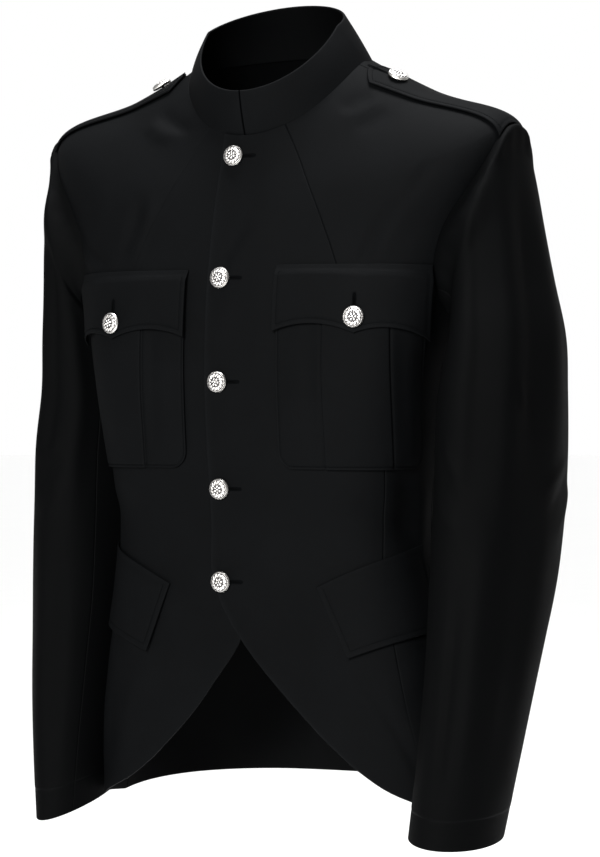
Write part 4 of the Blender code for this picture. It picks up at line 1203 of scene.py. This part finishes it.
def turned_faces(rings, count):
    """Faces of a turned solid with closed poles: a first point, rings of count points and a last point."""
    number = 1 + np.arange(rings * count).reshape(rings, count)
    closed = np.concatenate([number, number[:, :1]], axis=1)
    first = np.stack([np.zeros(count, int), closed[0, 1:], closed[0, :-1]], axis=1)
    last = np.stack([np.full(count, rings * count + 1), closed[-1, :-1], closed[-1, 1:]], axis=1)
    return grid_quads(closed), np.concatenate([first, last])


def upright_frame(out):
    """The ways across and up of a round piece that faces out."""
    across = np.cross([0, 0, 1.0], out)
    across /= np.linalg.norm(across)
    return across, np.cross(out, across)


def make_button(name, place, turn, settings, finish):
    """A struck metal button: its section turned round, then a dome raised by its relief."""
    back, out = place(np.array(0.0), np.array(0.0))
    back = back + out * LAP_GAP
    across, upwards = upright_frame(out)
    turns = np.arange(120) * 2 * math.pi / 120
    outline = np.array(BUTTON_OUTLINE)
    dome = np.linspace(0.93, 0.02, 38)
    dome_height = 0.44 + 0.50 * np.sqrt(np.clip(1 - (dome / 0.96) ** 2, 0, 1))
    radius = np.concatenate([outline[:, 0], dome])[:, None]
    height = np.concatenate([outline[:, 1], dome_height])[:, None] * BUTTON_HEIGHT
    face = np.concatenate([np.zeros(len(outline)), np.ones(len(dome))])[:, None]
    relief = face * struck_relief(radius, turns + turn)
    height = height + (relief - 0.4 * face) * settings.relief
    round_out = np.cos(turns)[:, None] * across + np.sin(turns)[:, None] * upwards
    rings = back + round_out * (radius * BUTTON_RADIUS)[..., None] + height[..., None] * out
    top = back + out * ((0.94 * BUTTON_HEIGHT) + 0.6 * settings.relief)
    points = np.concatenate([back[None], rings.reshape(-1, 3), top[None]])
    shine = np.concatenate([[0.6], (relief + (1 - face) * 0.75).ravel(), [1.0]])
    faces = turned_faces(*rings.shape[:2])
    made = mesh_object(name + "_struck", points, faces, finish, None, {"relief": shine})
    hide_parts(name)
    return made


def make_shanks(places, finish):
    """The thread stalks of the buttons: short waisted rods, from inside the cloth to each button's back."""
    turns = np.arange(12) * 2 * math.pi / 12
    along = np.linspace(0, 1, 6)[:, None]
    waist = SHANK_RADIUS * (1 - 0.25 * np.sin(math.pi * along))
    points, quads, fans = [], [], []
    for place in places.values():
        foot, out = place(np.array(0.0), np.array(0.0))
        across, upwards = upright_frame(out)
        start, end = foot - out * 0.0006, foot + out * (LAP_GAP + 0.0001)
        round_out = np.cos(turns)[:, None] * across + np.sin(turns)[:, None] * upwards
        rings = start + (end - start) * along[..., None] + round_out * waist[..., None]
        own = np.concatenate([start[None], rings.reshape(-1, 3), end[None]])
        quad, fan = turned_faces(6, 12)
        quads.append(quad + len(own) * len(points))
        fans.append(fan + len(own) * len(points))
        points.append(own)
    made = mesh_object("button_shanks", np.concatenate(points), quads + fans, finish)


def even_steps(line, out, pitch):
    """Places at even steps along a line of points: the middles, and the ways along, across and out there."""
    line, out = np.asarray(line), np.asarray(out)
    far = np.concatenate([[0], np.cumsum(np.linalg.norm(np.diff(line, axis=0), axis=1))])
    count = max(int(far[-1] / pitch), 1)
    at = (np.arange(count) + 0.5) * far[-1] / count

    def read(values, where):
        return np.stack([np.interp(where, far, values[:, k]) for k in range(3)], axis=1)

    along = read(line, np.clip(at + pitch / 4, 0, far[-1])) - read(line, np.clip(at - pitch / 4, 0, far[-1]))
    along /= np.linalg.norm(along, axis=1, keepdims=True)
    facing = read(out, at)
    facing -= (facing * along).sum(axis=1, keepdims=True) * along
    facing /= np.linalg.norm(facing, axis=1, keepdims=True)
    return read(line, at), along, np.cross(facing, along), facing


def grains(middles, along, across, out, half, radius, lean=0.0, seed=1):
    """Many small rounded rods as one set of points and faces: a blunt ellipsoid, repeated at each place.

    lean turns each rod from the line's way, and each one is a little longer or shorter than the next.
    """
    draw = np.random.default_rng(seed)
    turns = np.arange(6) * math.pi / 3
    steps = np.array([-0.82, -0.35, 0.35, 0.82])
    girth = (1 - steps**2) ** 0.35
    size = draw.uniform(0.86, 1.10, (len(middles), 1, 1))
    angle = lean + draw.uniform(-0.05, 0.05, (len(middles), 1))
    way = along * np.cos(angle) + across * np.sin(angle)
    beside = across * np.cos(angle) - along * np.sin(angle)
    ring = np.stack([np.repeat(steps * half, 6), np.tile(np.cos(turns), 4), np.tile(np.sin(turns), 4)])
    thick = np.repeat(girth, 6) * radius
    rings = (
        way[:, None] * (ring[0][None, :, None] * size)
        + beside[:, None] * (ring[1] * thick)[None, :, None]
        + out[:, None] * (ring[2] * thick)[None, :, None]
    )
    first, last = -way[:, None] * half * size, way[:, None] * half * size
    points = np.concatenate([first, rings, last], axis=1) + middles[:, None]
    quads, fans = turned_faces(4, 6)
    shift = np.arange(len(middles))[:, None, None] * points.shape[1]
    return points.reshape(-1, 3), [(quads[None] + shift).reshape(-1, 4), (fans[None] + shift).reshape(-1, 3)]


def joined(name, sets, finish):
    """One object from several sets of points and faces."""
    points, faces, count = [], [], 0
    for own, own_faces in sets:
        faces += [part + count for part in own_faces]
        points.append(own)
        count += len(own)
    made = mesh_object(name, np.concatenate(points), faces, finish)
    return made


def stitched(line, settings, seed=1):
    """A row of stitches along a line given as points and the ways out of the cloth, a little sunk in it."""
    points, out = line
    middles, along, across, facing = even_steps(points, out, settings.pitch)
    half = settings.pitch * 0.40
    seated = middles + facing * settings.thread * 0.15
    return grains(seated, along, across, facing, half, settings.thread, 0.06, seed)


def through(corners, count=60):
    """A polyline through corner points, with evenly spaced points on each leg."""
    corners = np.asarray(corners, float)
    share = np.linspace(0, 1, count)[:, None]
    legs = [a + (b - a) * share for a, b in zip(corners[:-1], corners[1:])]
    return np.concatenate([leg[:-1] for leg in legs] + [corners[-1:]])


def pocket_line(side, inset):
    """The seam that holds a chest pocket: down its inner side, round its foot and up its outer side."""
    radius = POCKET_CORNER - inset
    turn = np.linspace(0, math.pi / 2, 14)
    low = POCKET_BOTTOM + POCKET_CORNER
    left, right = -POCKET_INNER + POCKET_CORNER, POCKET_OUTER - POCKET_CORNER
    p = np.concatenate([
        np.full(60, left - radius), left - radius * np.cos(turn), np.linspace(left, right, 60),
        right + radius * np.sin(turn), np.full(60, right + radius),
    ])
    top = POCKET_TOP - 0.004
    z = np.concatenate([
        np.linspace(top, low, 60), low - radius * np.sin(turn), np.full(60, low - radius),
        low - radius * np.cos(turn), np.linspace(low, top, 60),
    ])
    drop = (z - POCKET_BOTTOM) / (POCKET_TOP - POCKET_BOTTOM)
    reach, centre = POCKET_REACH[side] + p, pocket_centre(side)
    return laid(side, reach, z, pocket_lift(p, drop) - 0.0003, centre), laid_normal(side, reach, z, centre)


def flap_line(side, inset, top):
    """The stitching round a chest flap: along its top, and inside its sides and its scalloped edge."""
    across = through([[-1 + inset / FLAP_INNER], [1 - inset / FLAP_OUTER]], 120)[:, 0]
    low = 1 - inset / flap_depth(across)
    high = top / flap_depth(across)
    ways = np.concatenate([across, np.full(30, across[-1]), across[::-1], np.full(30, across[0])])
    downs = np.concatenate([
        high, np.linspace(high[-1], low[-1], 30), low[::-1], np.linspace(low[0], high[0], 30),
    ])
    reach, z = flap_place(side, ways, downs)
    lift, centre = flap_lift(downs, ways) + CLOTH - 0.0002, pocket_centre(side)
    return laid(side, reach, z, lift, centre), laid_normal(side, reach, z, centre)


def hip_line(side, inset):
    """The stitching of a hip flap: down its inner edge, along its lower edge and up its outer edge."""
    x, y = inset / HIP_FLAP_WIDE, inset / HIP_FLAP_DEEP
    ways = through([[x, y * 0.4], [x, 1 - y], [1 - x, 1 - y], [1 - x, y * 0.4]])
    reach, z, low = hip_place(side, ways[:, 0], ways[:, 1])
    centre = hip_centre(side)
    return laid(side, reach, z, low + CLOTH - 0.0002, centre), laid_normal(side, reach, z, centre)


def strap_line(side, inset):
    """The stitching inside both edges of a shoulder strap and round its point."""
    a, b = inset / STRAP_HALF_OUTER, inset / STRAP_LONG
    ways = through([[0.0, a - 1], [1 - b, a - 1], [1 - b, 1 - a], [0.0, 1 - a]])
    around, up = strap_ways(ways[:, 0], ways[:, 1])
    facing = BODY.normal(around, up) * np.array([side, 1, 1])
    return cloth(side, around, up, STRAP_LIFT + STRAP_CLOTH - 0.0002), facing


def worked_hole(place, length, upright):
    """A worked buttonhole: purl stitches side by side round a slit, and a dark rod in it as the gap's painted
    shadow.

    The purl's line is a squared oval 2.2 mm across: powers of the cosine and the sine of one turn.
    """
    turn = np.linspace(0, 2 * math.pi, 121)
    a = length / 2 * np.sign(np.cos(turn)) * np.abs(np.cos(turn)) ** 0.35
    b = 0.0011 * np.sign(np.sin(turn)) * np.abs(np.sin(turn)) ** 0.8
    points, out = place(b, a) if upright else place(a, b)
    middles, along, across, facing = even_steps(points, out, 0.00062)
    purl = grains(middles + facing * 0.0001, across, along, facing, 0.00085, 0.00030, 0.12, 7)
    line = np.linspace(-length / 2 + 0.0012, length / 2 - 0.0012, 12)
    middle, facing = place(0 * line, line) if upright else place(line, 0 * line)
    # The slit: a near-black rod, painted shadow of the gap.
    slit = grains(*even_steps(middle, facing, length), length / 2 - 0.0006, 0.00042, 0.0, 3)
    return purl, slit


# The photograph's frame and the pinhole camera solved from it, in pixels and metres.
PHOTO_WIDTH = 600
PHOTO_HEIGHT = 857
PHOTO_FOCAL = 3850.0
PHOTO_CENTRE = 281.4        # column that the camera's axis meets
PHOTO_HORIZON = 375.0       # row of the camera's own height
CAMERA_HEIGHT = -0.281


class TunicCloth(bpy.types.PropertyGroup):
    """The wool that every panel is cut from."""

    colour: FloatVectorProperty(
        name="Colour", description="Dyed colour of the wool", subtype="COLOR", size=3, min=0, max=1,
        default=(0.00042, 0.00048, 0.00056),
    )
    gloss: FloatProperty(name="Gloss", description="Shine of the pressed wool", default=0.010, min=0, max=1)
    rib: FloatProperty(
        name="Rib", description="Distance between two ribs of the twill", default=0.00062, min=0.0002,
        max=0.003, unit="LENGTH",
    )


class TunicThread(bpy.types.PropertyGroup):
    """The sewing thread of the stitching and the buttonholes."""

    colour: FloatVectorProperty(
        name="Colour", description="Colour of the thread", subtype="COLOR", size=3, min=0, max=1,
        default=(0.00042, 0.00048, 0.00055),
    )
    pitch: FloatProperty(
        name="Stitch length", description="Distance from one stitch to the next", default=0.0028, min=0.001,
        max=0.01, unit="LENGTH",
    )
    thread: FloatProperty(
        name="Thickness", description="Half the thickness of the thread", default=0.00024, min=0.0001, max=0.001,
        unit="LENGTH",
    )


class TunicButtons(bpy.types.PropertyGroup):
    """The struck metal of the buttons."""

    colour: FloatVectorProperty(
        name="Colour", description="Colour of the rubbed metal", subtype="COLOR", size=3, min=0, max=1,
        default=(0.33, 0.322, 0.308),
    )
    roughness: FloatProperty(name="Roughness", description="Dullness of the metal", default=0.29, min=0, max=1)
    relief: FloatProperty(
        name="Relief", description="Height of the struck ornament", default=0.00075, min=0, max=0.002,
        unit="LENGTH",
    )
    hole: FloatProperty(
        name="Buttonhole", description="Length of a front buttonhole", default=0.019, min=0.008, max=0.04,
        unit="LENGTH",
    )


class TunicStage(bpy.types.PropertyGroup):
    """The camera and the soft light of the studio."""

    turn: FloatProperty(
        name="Turn", description="How far the camera stands round from the front", default=math.radians(29),
        subtype="ANGLE",
    )
    distance: FloatProperty(
        name="Distance", description="From the camera to the tunic", default=3.5, unit="LENGTH",
    )
    floor: FloatProperty(name="Floor", description="Height of the pale floor", default=-1.60, unit="LENGTH")
    key: FloatProperty(
        name="Key light", description="Power of the large front light", default=760.0, unit="POWER",
    )
    air: FloatProperty(name="Air", description="Brightness of the pale room", default=1.0, min=0, max=3)


def cloth_finish(context):
    """The wool, made once."""
    return bpy.data.materials.get("wool_serge") or wool("wool_serge", context.scene.tunic_cloth)


def thread_finish(context):
    """The thread, made once."""
    found = bpy.data.materials.get("wool_thread")
    return found or thread("wool_thread", context.scene.tunic_thread.colour, 0.62)


class TUNIC_OT_fronts(bpy.types.Operator):
    """Cuts both fronts, the left one lapped over the right"""

    bl_idname = "tunic.fronts"
    bl_label = "Fronts"

    def execute(self, context):
        make_front("left_front", 1, True, cloth_finish(context))
        make_front("right_front", -1, False, cloth_finish(context))
        return {"FINISHED"}


class TUNIC_OT_back(bpy.types.Operator):
    """Cuts the back"""

    bl_idname = "tunic.back"
    bl_label = "Back"

    def execute(self, context):
        make_back("back", cloth_finish(context))
        return {"FINISHED"}


class TUNIC_OT_sleeves(bpy.types.Operator):
    """Sets in both sleeves, each of a top and an under piece"""

    bl_idname = "tunic.sleeves"
    bl_label = "Sleeves"

    def execute(self, context):
        finish = cloth_finish(context)
        for side, label in ((1, "left"), (-1, "right")):
            top = (HINDARM_SEAM - 360, FOREARM_SEAM, 100, ((0.30, 0.66), 0.156))
            under = (FOREARM_SEAM, HINDARM_SEAM, 38, ((0.15, 0.54), 0.061))
            make_sleeve_part(f"{label}_top_sleeve", side, *top, finish)
            make_sleeve_part(f"{label}_under_sleeve", side, *under, finish)
        return {"FINISHED"}


class TUNIC_OT_collar(bpy.types.Operator):
    """Sews on the stand collar"""

    bl_idname = "tunic.collar"
    bl_label = "Collar"

    def execute(self, context):
        make_collar(cloth_finish(context))
        return {"FINISHED"}


class TUNIC_OT_pockets(bpy.types.Operator):
    """Sews on the pleated chest pockets, their flaps and the slanted hip flaps"""

    bl_idname = "tunic.pockets"
    bl_label = "Pockets and flaps"

    def execute(self, context):
        finish = cloth_finish(context)
        for side, label in ((1, "left"), (-1, "right")):
            make_chest_pocket(f"{label}_chest_pocket", side, finish)
            make_chest_flap(f"{label}_chest_flap", side, finish)
            make_hip_flap(f"{label}_hip_flap", side, finish)
        return {"FINISHED"}


class TUNIC_OT_straps(bpy.types.Operator):
    """Lays the shoulder straps"""

    bl_idname = "tunic.straps"
    bl_label = "Shoulder straps"

    def execute(self, context):
        for side, label in ((1, "left"), (-1, "right")):
            make_strap(f"{label}_shoulder_strap", side, cloth_finish(context))
        return {"FINISHED"}


class TUNIC_OT_buttons(bpy.types.Operator):
    """Sews on the struck buttons, each turned a little its own way, on stalks of thread"""

    bl_idname = "tunic.buttons"
    bl_label = "Buttons"

    def execute(self, context):
        settings = context.scene.tunic_buttons
        finish = silver("struck_silver", settings)
        places = button_places()
        for number, (name, place) in enumerate(places.items()):
            make_button(name, place, 0.37 * number, settings, finish)
        make_shanks(places, thread_finish(context))
        return {"FINISHED"}


class TUNIC_OT_buttonholes(bpy.types.Operator):
    """Works the buttonholes: across the left front, and upright on the flaps and straps"""

    bl_idname = "tunic.buttonholes"
    bl_label = "Buttonholes"

    def execute(self, context):
        length = context.scene.tunic_buttons.hole
        purl, slits = [], []
        for name, place in button_places().items():
            upright = not name.startswith("front")
            hole = moved(place, *((0.0, 0.0135) if upright else (0.0120, 0.0)))
            worked, slit = worked_hole(hole, 0.015 if upright else length, upright)
            purl.append(worked)
            slits.append(slit)
        joined("buttonhole_purl", purl, thread_finish(context))
        # slit_shadow: near-black rods in the slits as painted shadow of the gaps.
        joined("buttonhole_slits", slits, thread("slit_shadow", (0.0002, 0.0002, 0.0002), 0.9))
        return {"FINISHED"}


class TUNIC_OT_stitching(bpy.types.Operator):
    """Runs the stitching round the chest pockets, the chest and hip flaps and the straps"""

    bl_idname = "tunic.stitching"
    bl_label = "Stitching"

    def execute(self, context):
        settings = context.scene.tunic_thread
        for side, label in ((1, "left"), (-1, "right")):
            lines = [
                pocket_line(side, 0.0024), flap_line(side, 0.0045, 0.0070), hip_line(side, 0.0055),
                strap_line(side, 0.0045),
            ]
            rows = [stitched(line, settings, seed) for seed, line in enumerate(lines, start=side + 3)]
            joined(f"{label}_stitching", rows, thread_finish(context))
        return {"FINISHED"}


class TUNIC_OT_stage(bpy.types.Operator):
    """Sets up the pale floor, the soft light and the camera"""

    bl_idname = "tunic.stage"
    bl_label = "Stage"

    def execute(self, context):
        settings = context.scene.tunic_stage
        make_floor(settings)
        make_room(context, settings)
        make_camera(context, settings)
        return {"FINISHED"}


def moved(place, a, b):
    """The same way to place things, from a point moved by this much."""
    return lambda x, y: place(x + a, y + b)


def make_floor(settings):
    """A round floor on a polar grid, so wide that its far edge lies under the horizon."""
    radius = np.linspace(0, 60, 12)[1:, None]
    turns = np.arange(64) * 2 * math.pi / 64
    ways = (radius * np.cos(turns), radius * np.sin(turns), settings.floor)
    rings = np.stack(np.broadcast_arrays(*ways), axis=-1)
    middle = np.array([[0, 0, settings.floor]])
    points = np.concatenate([middle, rings.reshape(-1, 3)])
    number = 1 + np.arange(11 * 64).reshape(11, 64)
    closed = np.concatenate([number, number[:, :1]], axis=1)
    fan = np.stack([np.zeros(64, int), closed[0, :-1], closed[0, 1:]], axis=1)
    made, shader, start = new_finish("pale_floor", {"Specular IOR Level": 0.2})
    grain = start.node("ShaderNodeTexCoord").part("Object").noise(3.0)
    drive(shader, {
        "Base Color": grain.blend((0.965, 0.965, 0.965, 1), (0.985, 0.985, 0.98, 1)),
        "Roughness": (0.85 + (grain - 0.5) * 0.1).held(),
    })
    mesh = bpy.data.meshes.new("floor")
    mesh.from_pydata(points, [], grid_quads(closed)[:, ::-1].tolist() + fan.tolist())
    mesh.materials.append(made)
    mesh.update()
    floor = bpy.data.objects.new("floor", mesh)
    bpy.context.scene.collection.objects.link(floor)


def soft_light(name, place, aim, size, power, colour):
    """A large square light at a place, turned towards a point."""
    lamp = bpy.data.lights.new(name, "AREA")
    lamp.shape, lamp.size, lamp.energy, lamp.color = "SQUARE", size, power, colour
    made = bpy.data.objects.new(name, lamp)
    made.location = place
    way = np.array(aim, float) - np.array(place, float)
    tilt = math.atan2(math.hypot(way[0], way[1]), -way[2])
    made.rotation_euler = (tilt, 0, math.atan2(-way[0], way[1]))
    bpy.context.scene.collection.objects.link(made)


def make_room(context, settings):
    """A pale room with two large soft lights: one in front, a little to the wearer's left, one overhead."""
    world = bpy.data.worlds.new("studio")
    world.use_nodes = True
    background = world.node_tree.nodes["Background"]
    background.inputs["Color"].default_value = (1.0, 1.0, 1.0, 1)
    background.inputs["Strength"].default_value = settings.air
    context.scene.world = world
    context.scene.view_settings.view_transform = "Standard"
    soft_light("key", (0.5, -3.4, 0.7), (0, 0, -0.30), 1.1, settings.key, (1.0, 0.99, 0.97))
    soft_light("top", (0.1, 0.2, 3.0), (0, 0, 0), 1.4, settings.key * 1.1, (0.97, 0.98, 1.0))


def make_camera(context, settings):
    """A level camera at the photograph's angle, shifted so that its axis meets the photograph's own centre."""
    lens = bpy.data.cameras.new("photograph")
    lens.sensor_width = 36.0
    lens.lens = lens.sensor_width * PHOTO_FOCAL / PHOTO_HEIGHT
    lens.shift_x = (PHOTO_WIDTH / 2 - PHOTO_CENTRE) / PHOTO_HEIGHT
    lens.shift_y = -(PHOTO_HEIGHT / 2 - PHOTO_HORIZON) / PHOTO_HEIGHT
    made = bpy.data.objects.new("photograph", lens)
    across, away = math.sin(settings.turn), math.cos(settings.turn)
    made.location = (across * settings.distance, -away * settings.distance, CAMERA_HEIGHT)
    made.rotation_euler = (math.pi / 2, 0, settings.turn)
    context.scene.collection.objects.link(made)
    context.scene.camera = made


PIECES = (
    "fronts", "back", "sleeves", "collar", "pockets", "straps", "buttons", "buttonholes", "stitching", "stage",
)


class TUNIC_PT_panel(bpy.types.Panel):
    """Lists the tunic's pieces and their sizes and colours"""

    bl_idname = "TUNIC_PT_panel"
    bl_label = "Military tunic"
    bl_space_type = "VIEW_3D"
    bl_region_type = "UI"
    bl_category = "Tunic"

    def draw(self, context):
        for name in SETTINGS:
            held = getattr(context.scene, name)
            for key in held.bl_rna.properties.keys():
                if key not in ("rna_type", "name"):
                    self.layout.prop(held, key)
        for piece in PIECES:
            self.layout.operator("tunic." + piece)


SETTINGS = {
    "tunic_cloth": TunicCloth, "tunic_thread": TunicThread, "tunic_buttons": TunicButtons,
    "tunic_stage": TunicStage,
}
CLASSES = (
    *SETTINGS.values(), TUNIC_OT_fronts, TUNIC_OT_back, TUNIC_OT_sleeves, TUNIC_OT_collar, TUNIC_OT_pockets,
    TUNIC_OT_straps, TUNIC_OT_buttons, TUNIC_OT_buttonholes, TUNIC_OT_stitching, TUNIC_OT_stage, TUNIC_PT_panel,
)


def register():
    for each in CLASSES:
        bpy.utils.register_class(each)
    for name, group in SETTINGS.items():
        setattr(bpy.types.Scene, name, PointerProperty(type=group))


def unregister():
    for name in SETTINGS:
        delattr(bpy.types.Scene, name)
    for each in reversed(CLASSES):
        bpy.utils.unregister_class(each)


def main():
    register()
    for piece in PIECES:
        getattr(bpy.ops.tunic, piece)()


if __name__ == "__main__":
    main()
